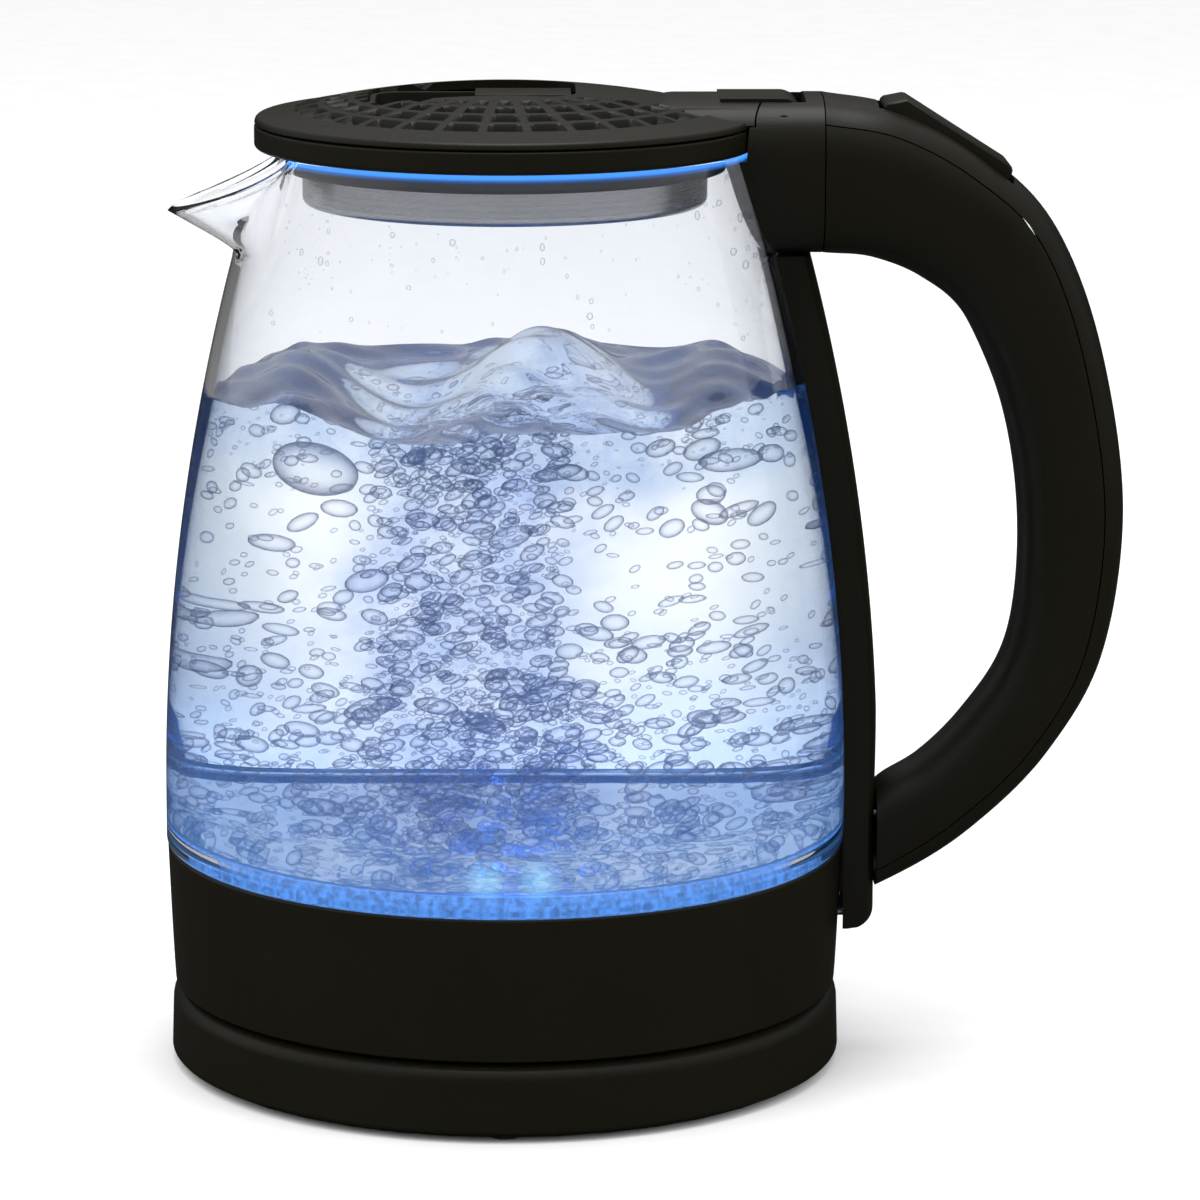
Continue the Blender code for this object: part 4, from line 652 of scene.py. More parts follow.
def light_band():
    """Ribbed ring: its radius ripples with the angle, r = R - d (1 - cos(N a)) / 2."""
    inner = RING_RADIUS - RING_WIDTH
    corners = [(inner, RING_TOP - 0.6 * MM), (inner + 0.7 * MM, RING_TOP), (RING_RADIUS, RING_TOP),
               (RING_RADIUS, RING_LOW), (inner, RING_LOW)]
    outline = rounded(corners, 0.3 * MM, steps=4)
    steps = RIBS * 8
    points = turned(outline, steps)
    angle = np.arange(steps) * TURN / steps
    ripple = 1 - RIB_DEPTH / RING_RADIUS * (1 - np.cos(RIBS * angle)) / 2
    points[..., 0] = AXIS_X + (points[..., 0] - AXIS_X) * ripple[:, None]
    points[..., 1] *= ripple[:, None]
    stand_for(surface("light_band", points, FINISH["light_guide"]), "light_ring")


def hot_plate():
    wall = PLATE_WALL
    corners = [(0, HEATER_TOP), (HEATER_RADIUS, HEATER_TOP), (HEATER_RADIUS, HEATER_LOW),
               (HEATER_RADIUS - wall, HEATER_LOW), (HEATER_RADIUS - wall, HEATER_TOP - wall),
               (0, HEATER_TOP - wall)]
    lathe("hot_plate", "heater_plate", corners, (0, 1.4 * MM, 0.2 * MM, 0.2 * MM, 0.6 * MM, 0))


# ---------------------------------------------------------------- glass jar

def jar_radius(z):
    """Outside of the glass: R - (R - shoulder) t^p, t running from the belly to the neck."""
    neck = RIM_Z - NECK_HEIGHT - 0.8 * MM
    share = np.clip((z - BELLY_Z) / (neck - BELLY_Z), 0, 1.03)
    return JAR_RADIUS - (JAR_RADIUS - SHOULDER_RADIUS) * share ** JAR_POWER


def drawn(outline, root, tip):
    """Where each point lies on the spout's middle line, a straight line from root to tip."""
    share = np.clip((outline[:, 1] - SPOUT_ROOT_Z) / (RIM_Z - SPOUT_ROOT_Z), 0, 1)
    inside = share > 0
    radius = np.where(inside, root + (tip[0] - root) * share, outline[:, 0])
    height = np.where(inside, SPOUT_ROOT_Z + (tip[1] - SPOUT_ROOT_Z) * share, outline[:, 1])
    return radius, height


def glass_wall():
    """Outside and inside (radius, height) of the jar's wall, lip and foot rounded."""
    neck_z = RIM_Z - NECK_HEIGHT
    neck = SHOULDER_RADIUS - NECK_STEP
    heights = np.linspace(neck_z - 1.4 * MM, BELLY_Z, 56)
    ledge = SHELL_TOP + GAP
    lip = rounded([(neck - JAR_WALL, neck_z), (neck - JAR_WALL, RIM_Z), (neck, RIM_Z),
                   (neck, neck_z)], (0, 1.1 * MM, 1.1 * MM, 0), steps=8)
    middle = len(lip) // 2
    side = np.stack([jar_radius(heights), heights], -1)
    shoulder = rounded([lip[-1], (jar_radius(neck_z), neck_z), side[0]], (0, 1.2 * MM, 0))[1:-1]
    foot = rounded([side[-1], (JAR_RADIUS, ledge), (GLASS_FOOT_RADIUS, ledge),
                    (GLASS_FOOT_RADIUS, JAR_FOOT)], (0, 1.4 * MM, 0.3 * MM, 0.5 * MM))[1:]
    outside = np.concatenate([lip[middle:], shoulder, side, foot])
    bore = GLASS_FOOT_RADIUS - JAR_WALL
    inner_foot = rounded([(bore, JAR_FOOT), (bore, ledge + 2 * MM),
                          (JAR_RADIUS - JAR_WALL, BELLY_Z)], (0.4 * MM, 2 * MM, 0))[:-1]
    inner_side = (side - (JAR_WALL, 0))[::-1]
    inner_top = rounded([inner_side[-1], (jar_radius(neck_z) - JAR_WALL, neck_z - 0.6 * MM), lip[0]],
                        (0, 1.2 * MM, 0))[1:-1]
    inside = np.concatenate([inner_foot, inner_side, inner_top, lip[:middle]])
    return outside, inside


def jar():
    """The jar is turned, and its rim drawn out at -X: a point goes to the spout's line by
    p^2 in radius and p in height, p being the cosine of its angle across the spout."""
    outside, inside = glass_wall()
    root = float(jar_radius(SPOUT_ROOT_Z))
    tip = (SPOUT_TIP_RADIUS, SPOUT_TIP_Z)
    inner_tip = (SPOUT_TIP_RADIUS - SPOUT_LIP, SPOUT_TIP_Z + SPOUT_LIP)
    out_r, out_z = drawn(outside, root, tip)
    in_r, in_z = drawn(inside, root - JAR_WALL, inner_tip)
    loop = np.concatenate([outside, inside])
    goal_r, goal_z = np.concatenate([out_r, in_r]), np.concatenate([out_z, in_z])
    fine = math.pi + np.linspace(-1, 1, 49) * SPOUT_HALF_ANGLE
    coarse = np.linspace(SPOUT_HALF_ANGLE - math.pi, math.pi - SPOUT_HALF_ANGLE, 172)[1:-1]
    angle = np.concatenate([fine, coarse])
    off = (angle + TURN) % TURN - math.pi
    pull = np.cos(np.minimum(np.abs(off) / SPOUT_HALF_ANGLE, 1) * math.pi / 2)[:, None]
    r = loop[:, 0] + pull ** 2 * (goal_r - loop[:, 0])
    z = loop[:, 1] + pull * (goal_z - loop[:, 1])
    points = np.stack([AXIS_X + r * np.cos(angle)[:, None], r * np.sin(angle)[:, None], z], -1)
    stand_for(surface("jar", points, FINISH["clear_glass"], crease=50), "glass_jar")


# ---------------------------------------------------------------- collar and lid

def collar():
    bore = radius_of("collar_ring") - 5.8 * MM
    skirt = COLLAR_RADIUS - 2.2 * MM
    corners = [(bore, COLLAR_TOP), (COLLAR_RADIUS, COLLAR_TOP), (COLLAR_RADIUS, COLLAR_LOW),
               (skirt, COLLAR_LOW), (skirt, RIM_Z + GAP), (bore, RIM_Z + GAP)]
    lathe("collar", "collar_ring", corners,
          (0.4 * MM, 0.5 * MM, 1.0 * MM, 0.2 * MM, 0.2 * MM, 0.3 * MM), steps=240)


def dome(radius):
    """Lid's outside: a low parabola that falls from the crest to the rounded edge."""
    edge = COLLAR_RADIUS - LID_ROUND
    return COLLAR_TOP + LID_CREST - (LID_CREST - LID_EDGE) * (radius / edge) ** 2


def trapezoid(position, bar_share, slope):
    """1 between the ribs and 0 on them; position counts cells, ribs lie on whole numbers."""
    off = 0.5 - np.abs(position % 1.0 - 0.5)
    t = np.clip((off - bar_share / 2) / slope, 0, 1)
    return t * t * (3 - 2 * t)


def pocket_depth(radius, angle):
    """Depth of the lid's pockets: cells 12 degrees wide between rings 7 mm apart, from the
    inner ring to the rim, and none where the smooth bridge runs back to the hinge."""
    first, last, pitch = 22.0 * MM, 50.2 * MM, 7.05 * MM
    around = angle / math.radians(12)
    width = 2.3 * MM / np.maximum(radius * math.radians(12), 3 * MM)
    columns = trapezoid(around, width, 0.09)
    rows = trapezoid((radius - first) / pitch, 0.27, 0.09)
    inside = (radius > first) & (radius < last)
    across = np.abs(radius * np.sin(angle))
    back = (np.cos(angle) > 0) & (across < HINGE_HALF + 2.2 * MM)
    return 1.7 * MM * columns * rows * inside * ~back


def lid_top():
    """The dome with its pockets, cut out for the finger well, and the hinge's bridge."""
    edge = COLLAR_RADIUS - LID_ROUND
    cell = np.array((0.0, 0.1, 0.17, 0.24, 0.5, 0.76, 0.83, 0.9))
    angle = (np.arange(30)[:, None] + cell).ravel() * math.radians(12)
    first, pitch = 22.0 * MM, 7.05 * MM
    bands = (first + (np.arange(4)[:, None] + np.array((0.0, 0.12, 0.17, 0.22, 0.5, 0.78, 0.83,
                                                        0.88))) * pitch).ravel()
    reach = np.concatenate([np.linspace(0, first - MM, 8), bands,
                            np.linspace(50.3 * MM, edge, 3)])
    inner = radius_of("lid_inner") + GAP
    rim = rounded([(edge, dome(edge)), (COLLAR_RADIUS - 0.4 * MM, LID_LOW + 1.5 * MM),
                   (COLLAR_RADIUS, LID_LOW), (inner, LID_LOW), (inner, dome(inner) - LID_WALL)],
                  (0, 2.6 * MM, 0.3 * MM, 0.3 * MM, 0), steps=10)[1:-1]
    under_r = np.linspace(inner, 0, 8)
    under = np.stack([under_r, dome(under_r) - LID_WALL], -1)
    top = np.stack([reach, dome(reach)], -1)
    outline = np.concatenate([top, rim, under])
    r = np.broadcast_to(outline[:, 0], (len(angle), len(outline)))
    z = np.broadcast_to(outline[:, 1], r.shape).copy()
    depth = pocket_depth(r, angle[:, None])
    depth[:, len(top):] = 0
    z -= depth
    points = np.stack([AXIS_X + r * np.cos(angle)[:, None], r * np.sin(angle)[:, None], z], -1)
    cover = surface("lid_top", points, FINISH["black_plastic"], wrap=(True, False), crease=38)
    hinge = np.array((AXIS_X + HINGE_X, 0, HINGE_Z))
    across = np.array((0, HINGE_HALF + 0.01 * MM, 0))
    shaped(cover, [plateau()], "UNION")
    shaped(cover, [bar(hinge - 2.4 * across, hinge + 2.4 * across, NOSE_RADIUS + RUN, 96)])
    rise = HINGE_Z + HINGE_RADIUS
    bridge = prism([(BRIDGE_FRONT, PLATEAU_Z), (HINGE_X, PLATEAU_Z), (HINGE_X, rise),
                    (BRIDGE_FRONT, rise)], HINGE_HALF)
    barrel = bar(hinge - across, hinge + across, HINGE_RADIUS + 0.01 * MM)
    shaped(cover, [bridge, barrel], "UNION")
    well = well_block(0.0, LID_LOW - MM, HANDLE_TOP + 9 * MM)
    bore = bar(hinge - 2 * across, hinge + 2 * across, HINGE_BORE)
    shaped(cover, [well, bore], crease=38)
    stand_for(cover, "lid_cover")


def plateau():
    """Back of the lid, rising out of the dome in the handle's own outline: the section's
    crown, carried from the dome to the hinge, with its front corner rounded off."""
    row = handle_rows(2)[:1]
    ahead = np.linspace(0, 1, 12)
    places = np.concatenate([PLATEAU_FRONT + 5 * MM * (1 - np.cos(ahead * math.pi / 2)),
                             [HINGE_X - 2 * MM]])
    drop = np.concatenate([1.6 * MM * (1 - np.sin(ahead * math.pi / 2)), [0]])
    rows = np.repeat(row, len(places), 0)
    rows[:, 0] = places
    out, side = section_arc(rows, 0.1 * MM, 0.1 * MM, HANDLE_TOP - PLATEAU_Z, 40)
    out, side = mirrored(out[:, ::-1], side[:, ::-1])
    z = rows[:, 1:2] + out
    z = np.maximum(z - drop[:, None] * (z - PLATEAU_Z) / (HANDLE_TOP - PLATEAU_Z), PLATEAU_Z)
    side = side * (1 - 0.25 * drop[:, None] / (1.6 * MM))
    points = np.stack([AXIS_X + rows[:, 0:1] + 0 * out, side, z], -1)
    return surface("plateau", points, FINISH["black_plastic"], wrap=(False, True), caps=True)


def well_outline(inset):
    """Rounded rectangle of the finger well, seen from above."""
    length, width, middle, corner = WELL
    half = np.array((length / 2 - inset, width / 2 - inset))
    square = np.array(((1, 1), (-1, 1), (-1, -1), (1, -1))) * half + (middle + 1, 1)
    return rounded(square, corner - inset, steps=10) - 1


def well_block(inset, bottom, top):
    flat = well_outline(inset)
    layers = [np.column_stack([flat[:, 0] + AXIS_X, flat[:, 1], np.full(len(flat), z)])
              for z in (bottom, top)]
    return surface("well", np.stack(layers), FINISH["black_plastic"], wrap=(False, True), caps=True)


def lid_inside():
    """Tier under the cover, which the steel cup hangs from."""
    side = radius_of("lid_inner")
    bore, floor = side - TIER_WALL, TIER_Z + TIER_WALL
    corners = [(0, floor), (bore, floor), (bore, TIER_TOP), (side, TIER_TOP), (side, TIER_Z),
               (0, TIER_Z)]
    lathe("lid_tier", "lid_inner", corners, (0, 0.6 * MM, 0.3 * MM, 0.3 * MM, 1.2 * MM, 0))


def steel_cup():
    bore, floor = CUP_RADIUS - CUP_WALL, CUP_LOW + CUP_WALL
    corners = [(0, floor), (bore, floor), (bore, CUP_TOP), (CUP_RADIUS, CUP_TOP),
               (CUP_RADIUS, CUP_LOW), (0, CUP_LOW)]
    lathe("lid_cup", "lid_steel_cup", corners, (0, 1.0 * MM, 0.1 * MM, 0.1 * MM, 1.8 * MM, 0))


# ---------------------------------------------------------------- handle

def handle_rows(count):
    """Catmull-Rom curve through the stations, as rows of x, z, thickness, width, way, square:
    0.5 (2b + (c - a)t + (2a - 5b + 4c - d)t^2 + (3b - a - 3c + d)t^3)."""
    out, up, thick, wide, facing, square = STATIONS.T
    start = np.where(np.arange(len(STATIONS)) < WIDEST, HEAD_X + GAP, SPINE_X + GAP)
    widest = HANDLE_REACH - STATIONS[WIDEST, 2] * MM / 2
    top = HANDLE_TOP - STATIONS[0, 2] * MM / 2
    foot = SHELL_TOP + 0.7 * MM
    rows = np.stack([start + (widest - start) * out, foot + (top - foot) * up, thick * MM,
                     wide * MM, np.radians(facing), square], -1)
    rows = np.vstack([2 * rows[0] - rows[1], rows, 2 * rows[-1] - rows[-2]])
    place = np.linspace(0, len(STATIONS) - 1, count)
    k = np.minimum(place.astype(int), len(STATIONS) - 2)
    t = (place - k)[:, None]
    a, b, c, d = rows[k], rows[k + 1], rows[k + 2], rows[k + 3]
    return 0.5 * (2 * b + (c - a) * t + (2 * a - 5 * b + 4 * c - d) * t ** 2
                  + (3 * b - a - 3 * c + d) * t ** 3)


def section_arc(rows, inset, depth_from, depth_to, count):
    """Half of each section's outline, a superellipse, between two depths from its outer side:
    out = h |cos a|^(2/n), side = w |sin a|^(2/n), keeping the cosine's sign."""
    thick, wide, square = rows[:, 2:3], rows[:, 3:4], rows[:, 5:6]
    half_t, half_w = thick / 2 - inset, wide / 2 - inset
    depths = np.concatenate([np.broadcast_to(depth_from, thick.shape),
                             np.broadcast_to(depth_to, thick.shape)], 1)
    level = np.clip((thick / 2 - depths) / half_t, -1, 1)
    ends = np.arccos(np.sign(level) * np.abs(level) ** (square / 2))
    share = np.linspace(0, 1, count)
    angle = ends[:, :1] + (ends[:, 1:] - ends[:, :1]) * share
    power = 2 / square
    cosine = np.cos(angle)
    out = half_t * np.sign(cosine) * np.abs(cosine) ** power
    return out, half_w * np.abs(np.sin(angle)) ** power


def mirrored(out, side, last=None):
    """Half an outline with its mirror image, the shared middle point taken once."""
    return (np.concatenate([out, out[:, ::-1][:, 1:last]], 1),
            np.concatenate([side, -side[:, ::-1][:, 1:last]], 1))


def loop_points(rows, outer, inner):
    """Outer arc, round to the other side, and back along the inner arc, placed in space."""
    (out_a, side_a), (out_b, side_b) = mirrored(*outer), mirrored(*inner)
    out = np.concatenate([out_a, out_b[:, ::-1]], 1)
    side = np.concatenate([side_a, side_b[:, ::-1]], 1)
    x, z, facing = rows[:, 0:1], rows[:, 1:2], rows[:, 4:5]
    return np.stack([AXIS_X + x + out * np.cos(facing), side, z + out * np.sin(facing)], -1)


def handle():
    rows = handle_rows(110)
    thick = rows[:, 2:3]
    outer = section_arc(rows, 0.0, COVER_DEPTH, thick, 26)
    inner = section_arc(rows, HANDLE_WALL, COVER_DEPTH, thick - HANDLE_WALL, 14)
    body = surface("grip_body", loop_points(rows, outer, inner), FINISH["black_plastic"],
                   wrap=(False, True), caps=True, crease=40)
    stand_for(body, "handle_body")
    deep = COVER_DEPTH - GAP
    flip = lambda arc: (arc[0][:, ::-1], arc[1][:, ::-1])
    outer = flip(section_arc(rows, 0.0, 0.0, deep, 20))
    inner = flip(section_arc(rows, HANDLE_WALL, HANDLE_WALL, deep, 10))
    cover = surface("grip_cover", loop_points(rows, outer, inner), FINISH["black_plastic"],
                    wrap=(False, True), caps=True, crease=40)
    return cover


def spine_face(z):
    """How far out the strap's outer face lies, rounded at its foot."""
    rounding = SPINE_FOOT_ROUND
    under = np.clip(SPINE_LOW + rounding - z, 0, rounding)
    blend = np.clip((z - BELLY_Z) / (20 * MM), 0, 1)
    depth = SPINE_X - JAR_RADIUS
    return (jar_radius(z) + depth - (depth - SPINE_DEPTH) * blend
            - (rounding - np.sqrt(rounding ** 2 - under ** 2)))


def strap():
    """Strap on the glass: its inner face follows the jar, its outer one is a flat oval."""
    curl = 1 - np.cos(np.linspace(0, math.pi / 2, 9))
    z = np.concatenate([SPINE_LOW + SPINE_FOOT_ROUND * curl,
                        np.linspace(SPINE_LOW + SPINE_FOOT_ROUND + MM, SPINE_TOP, 70)])[:, None]
    across = np.linspace(-1, 1, 25)
    y = across * SPINE_HALF
    inner_r = np.where(z > SHELL_TOP, jar_radius(z), JAR_RADIUS) + RUN
    inner = np.sqrt(inner_r ** 2 - y ** 2)
    edge = inner[:, :1] + MM
    face = edge + (spine_face(z) - edge) * (1 - np.abs(across) ** 4) ** 0.25
    x = np.concatenate([inner, face[:, ::-1]], 1)
    sides = np.broadcast_to(np.concatenate([y, y[::-1]]), x.shape)
    points = np.stack([AXIS_X + x, sides, np.broadcast_to(z, x.shape)], -1)
    piece = surface("strap", points, FINISH["black_plastic"], wrap=(False, True), caps=True,
                    crease=40)
    stand_for(piece, "handle_spine")


def head():
    """Bracket behind the lid, in the handle's first section, hollowed for collar and hinge."""
    row = np.repeat(handle_rows(2)[:1], 2, 0)
    row[:, 0] = (HINGE_X - 20 * MM, HEAD_X)
    out, side = section_arc(row, 0.0, 0.0, row[:, 2:3], 40)
    out, side = mirrored(out, side, -1)
    points = np.stack([AXIS_X + row[:, 0:1] + 0 * out, side, row[:, 1:2] + out], -1)
    piece = surface("hinge_head", points, FINISH["black_plastic"], wrap=(False, True), caps=True)
    heights = np.linspace(RIM_Z - NECK_HEIGHT - 1.5 * MM, 174 * MM, 24)
    bulk = COLLAR_RADIUS + 2 * GAP
    room = [(0, HANDLE_TOP + 20 * MM), (bulk, HANDLE_TOP + 20 * MM), (bulk, heights[0] + 0.1 * MM)]
    room += [*zip(jar_radius(heights) + RUN, heights), (0, heights[-1])]
    tool = surface("jar_room", turned(room, 240), FINISH["black_plastic"], wrap=(True, False))
    front, top, shelf = HINGE_X - 20 * MM, HINGE_Z + 20 * MM, PLATEAU_Z - GAP

    def cheek(radius, last):
        angle = np.linspace(math.pi + math.asin((HINGE_Z - shelf) / radius), last, 25)
        arc = zip(HINGE_X + radius * np.cos(angle), HINGE_Z + radius * np.sin(angle))
        return [(front, top), (front, shelf), *arc]

    reach = HINGE_RADIUS + RUN
    slot = [*cheek(reach, TURN), (HINGE_X + reach, top)]
    ahead = [*cheek(NOSE_RADIUS, math.pi / 2), (HINGE_X, top)]
    hinge = np.array((AXIS_X + HINGE_X, 0, HINGE_Z))
    start = hinge - (0, HINGE_HALF + RUN + 5.3 * MM, 0)
    shaped(piece, [tool])
    shaped(piece, [prism(slot, HINGE_HALF + RUN)])
    shaped(piece, [prism(ahead, 26 * MM)])
    shaped(piece, [bar(start, hinge + (0, 30 * MM, 0), HINGE_BORE)])
    stand_for(piece, "hinge_bracket")


def rocker_opening(cover):
    """Cuts the cover open for the switch, a box in the rocker's own slope."""
    pivot = Vector(JOINT["rocker_press"]["pos_m"])
    slope = rocker_slope(pivot)
    half = (18.2 * MM, 9.0 * MM)
    corners = np.array([(x, y) for x, y in ((-1, -1), (1, -1), (1, 1), (-1, 1))]) * half
    layers = [np.column_stack([corners, np.full(4, z)]) for z in (-1 * MM, 21.5 * MM)]
    tool = surface("opening", np.stack(layers), FINISH["black_plastic"], wrap=(False, True),
                   caps=True)
    tool.data.transform(Matrix.Translation(pivot) @ Matrix.Rotation(slope, 4, "Y"))
    stand_for(shaped(cover, [tool], crease=40), "handle_cover")


def rocker_slope(pivot):
    """Slope of the handle's outer side beside the pivot."""
    rows = handle_rows(400)
    x = rows[:, 0] + rows[:, 2] / 2 * np.cos(rows[:, 4])
    z = rows[:, 1] + rows[:, 2] / 2 * np.sin(rows[:, 4])
    near = np.argmin((x + AXIS_X - pivot.x) ** 2 + (z - pivot.z) ** 2)
    return math.atan2(z[near - 7] - z[near + 7], x[near + 7] - x[near - 7])


# ---------------------------------------------------------------- contents, not the object

def water_height(x, y):
    """Surface of the boiling water: ridges and dips running front to back, and short chop."""
    def ridge(cx, wide, rise, cy=0.0, deep=0.06):
        return rise * np.exp(-((x - cx) / wide) ** 2 - ((y - cy) / deep) ** 2)
    swell = ridge(0.010, 0.017, 12 * MM, 0.004, 0.045) + ridge(-0.048, 0.012, 6 * MM)
    swell += ridge(0.052, 0.014, 6 * MM) - ridge(-0.022, 0.013, 5 * MM, -0.02)
    swell -= ridge(0.034, 0.010, 3 * MM, -0.03)
    chop = 0.9 * MM * np.sin(x / 0.0071 + 1.3 + 2 * np.sin(y / 0.013))
    chop *= np.cos(y / 0.0088 + x / 0.03)
    chop += 0.35 * MM * np.sin(x / 0.0031 + y / 0.0043 + 2 * np.sin(x / 0.009))
    return WATER_LEVEL + swell + chop


def water_material():
    """Near clear water, tinted with painted blue light: steel blue under its surface, a frothy column
    in the middle, violet blue low down and grey blue towards the sides."""
    def shader(n):
        place = n.add("TexCoord").outputs["Object"]
        part = n.add("SeparateXYZ", Vector=place)
        froth = n.noise(place, 75.0, 5.0, 0.7)
        drift = n.math("MULTIPLY", n.math("SUBTRACT", n.noise(place, 28.0, 2.0), 0.5), 50 * MM)
        x = n.math("SUBTRACT", part.outputs["X"], AXIS_X)

        def fade(value, start, end, most=1.0):
            return n.add("MapRange", {"interpolation_type": "SMOOTHSTEP"}, Value=value,
                         From_Min=start, From_Max=end, To_Min=0.0, To_Max=most).outputs[0]

        z = n.math("ADD", part.outputs["Z"], n.math("MULTIPLY", drift, 0.45))
        rough = fade(froth, 0.34, 0.60)
        away = n.math("ABSOLUTE", n.math("ADD", n.math("ADD", x, 7 * MM), drift))

        def broken(mask, least):
            """The mask, let down to a least share where there is no froth."""
            share = n.math("ADD", least, n.math("MULTIPLY", rough, 1 - least))
            return n.math("MULTIPLY", mask, share)

        # Painted light: these blue tints stand in for blue light in the water, broken up by the froth.
        column = broken(fade(away, 30 * MM, 10 * MM, 0.95), 0.45)
        band = broken(fade(z, 143 * MM, 155 * MM), 0.6)
        low_down = broken(fade(z, 108 * MM, 72 * MM, 0.9), 0.5)
        side = fade(n.math("ABSOLUTE", x), 40 * MM, 68 * MM, 0.9)
        tone = n.blend(side, (0.93, 0.96, 0.97, 1), (0.38, 0.47, 0.58, 1))
        tone = n.blend(low_down, tone, (0.52, 0.70, 1.0, 1))
        tone = n.blend(column, tone, (0.44, 0.55, 0.80, 1))
        tone = n.blend(band, tone, (0.34, 0.46, 0.66, 1))
        # Painted glow: emission low down, and at the two front lights, stands in for their light in the
        # water.
        painted_glow = n.blend(fade(z, 86 * MM, 54 * MM), (0, 0, 0, 1), (0.02, 0.06, 0.14, 1))
        for spot in LIT_SPOTS:
            reach = n.add("VectorMath", {"operation": "DISTANCE"}, i0=place, i1=spot).outputs["Value"]
            painted_glow = n.blend(fade(reach, 7 * MM, 0.0), painted_glow, (0.16, 0.45, 0.60, 1))
        return n.add("BsdfPrincipled", Base_Color=tone, Roughness=0.0, IOR=1.33,
                     Transmission_Weight=1.0, Emission_Color=painted_glow,
                     Emission_Strength=1.0).outputs[0]
    return see_through("lit_water", shader, (0.85, 0.92, 1.0))


def bubble_material(name, rim):
    """Clear at the middle and darker to the rim: painted shade for the light that a bubble's edge turns
    away.
    """
    def shader(n):
        weight = n.add("LayerWeight", Blend=0.5).outputs["Facing"]
        share = n.math("ADD", n.math("MULTIPLY", n.math("POWER", weight, 1.7), 0.9), 0.03)
        place = n.add("TexCoord").outputs["Object"]
        tone = n.ramp(n.noise(place, 60.0, 2.0), ((0.3, rim), (0.7, tuple(1.5 * c for c in rim))))
        clear = n.add("BsdfTransparent", Color=(1, 1, 1, 1))
        solid = n.add("BsdfPrincipled", Base_Color=tone, Roughness=0.12, Specular_IOR_Level=0.9)
        return n.add("MixShader", i0=share, i1=clear.outputs[0], i2=solid.outputs[0]).outputs[0]
    return see_through(name, shader, (0.98, 0.99, 1.0))


def contents(piece):
    """Water isn't part of the kettle: it moves with it."""
    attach(piece, "kettle")


def water():
    """Filled wall to wall: columns run from the middle of the floor out, up the glass, and
    back over the surface to the middle."""
    steps = 200
    angle = np.arange(steps)[:, None] * TURN / steps
    reach = np.linspace(0, 1, 48)[None]
    floor_r = np.broadcast_to(np.linspace(0, RING_RADIUS - 3.9 * MM, 6), (steps, 6))
    wall_z = np.linspace(RING_TOP + 0.6 * MM, WATER_LEVEL - 16 * MM, 30)
    wall_r = np.broadcast_to(jar_radius(wall_z) - JAR_WALL + WET, (steps, 30))
    edge_r = jar_radius(np.full((steps, 1), WATER_LEVEL)) - JAR_WALL
    for _ in range(4):
        edge_z = water_height(edge_r * np.cos(angle), edge_r * np.sin(angle))
        edge_r = jar_radius(edge_z) - JAR_WALL + WET
    lift = np.linspace(0, 1, 10)[None, 1:]
    rise_z = wall_z[-1] + (edge_z - wall_z[-1]) * lift
    rise_r = jar_radius(rise_z) - JAR_WALL + WET
    top_r = edge_r * (1 - reach[:, 1:])
    top_z = water_height(top_r * np.cos(angle), top_r * np.sin(angle))
    r = np.concatenate([floor_r, wall_r, rise_r, top_r], 1)
    z = np.concatenate([np.full(floor_r.shape, WATER_FLOOR), np.broadcast_to(wall_z, wall_r.shape),
                        rise_z, top_z], 1)
    points = np.stack([AXIS_X + r * np.cos(angle), r * np.sin(angle), z], -1)
    contents(surface("water", points, water_material(), wrap=(True, False), crease=60))


def balls(name, centres, sizes, squash, lean, finish, columns=16, rows=10):
    """Many small rounded bodies in one mesh: centre + size (p cos b cos a, q cos b sin a,
    k sin b), each leaning so that its height grows with x."""
    a = np.arange(columns) * TURN / columns
    b = np.linspace(-math.pi / 2, math.pi / 2, rows)[:, None]
    unit = np.stack([np.cos(b) * np.cos(a), np.cos(b) * np.sin(a), np.sin(b) + 0 * a], -1)
    ball = unit[1:-1].reshape(-1, 3)
    ball = np.vstack([[[0, 0, -1]], ball, [[0, 0, 1]]])
    index = 1 + np.arange((rows - 2) * columns).reshape(rows - 2, columns)
    turn = np.roll(index, -1, 1)
    quads = np.stack([index[:-1], turn[:-1], turn[1:], index[1:]], -1).reshape(-1, 4)
    last = len(ball) - 1
    low_tris = np.stack([turn[0], index[0], np.zeros(columns, int)], -1)
    high_tris = np.stack([index[-1], turn[-1], np.full(columns, last)], -1)
    scale = sizes[:, None, None] * squash[:, None, :]
    points = ball * scale
    points[..., 2] += lean[:, None] * points[..., 0]
    points = (centres[:, None, :] + points).reshape(-1, 3)
    shift = (np.arange(len(centres)) * len(ball))[:, None, None]
    faces = (quads + shift).reshape(-1, 4).tolist()
    faces += (low_tris + shift).reshape(-1, 3).tolist() + (high_tris + shift).reshape(-1, 3).tolist()
    mesh = bpy.data.meshes.new(name)
    mesh.from_pydata(points, [], faces)
    mesh.shade_smooth()
    piece = bpy.data.objects.new(name, mesh)
    bpy.context.scene.collection.objects.link(piece)
    mesh.materials.append(finish)
    contents(piece)


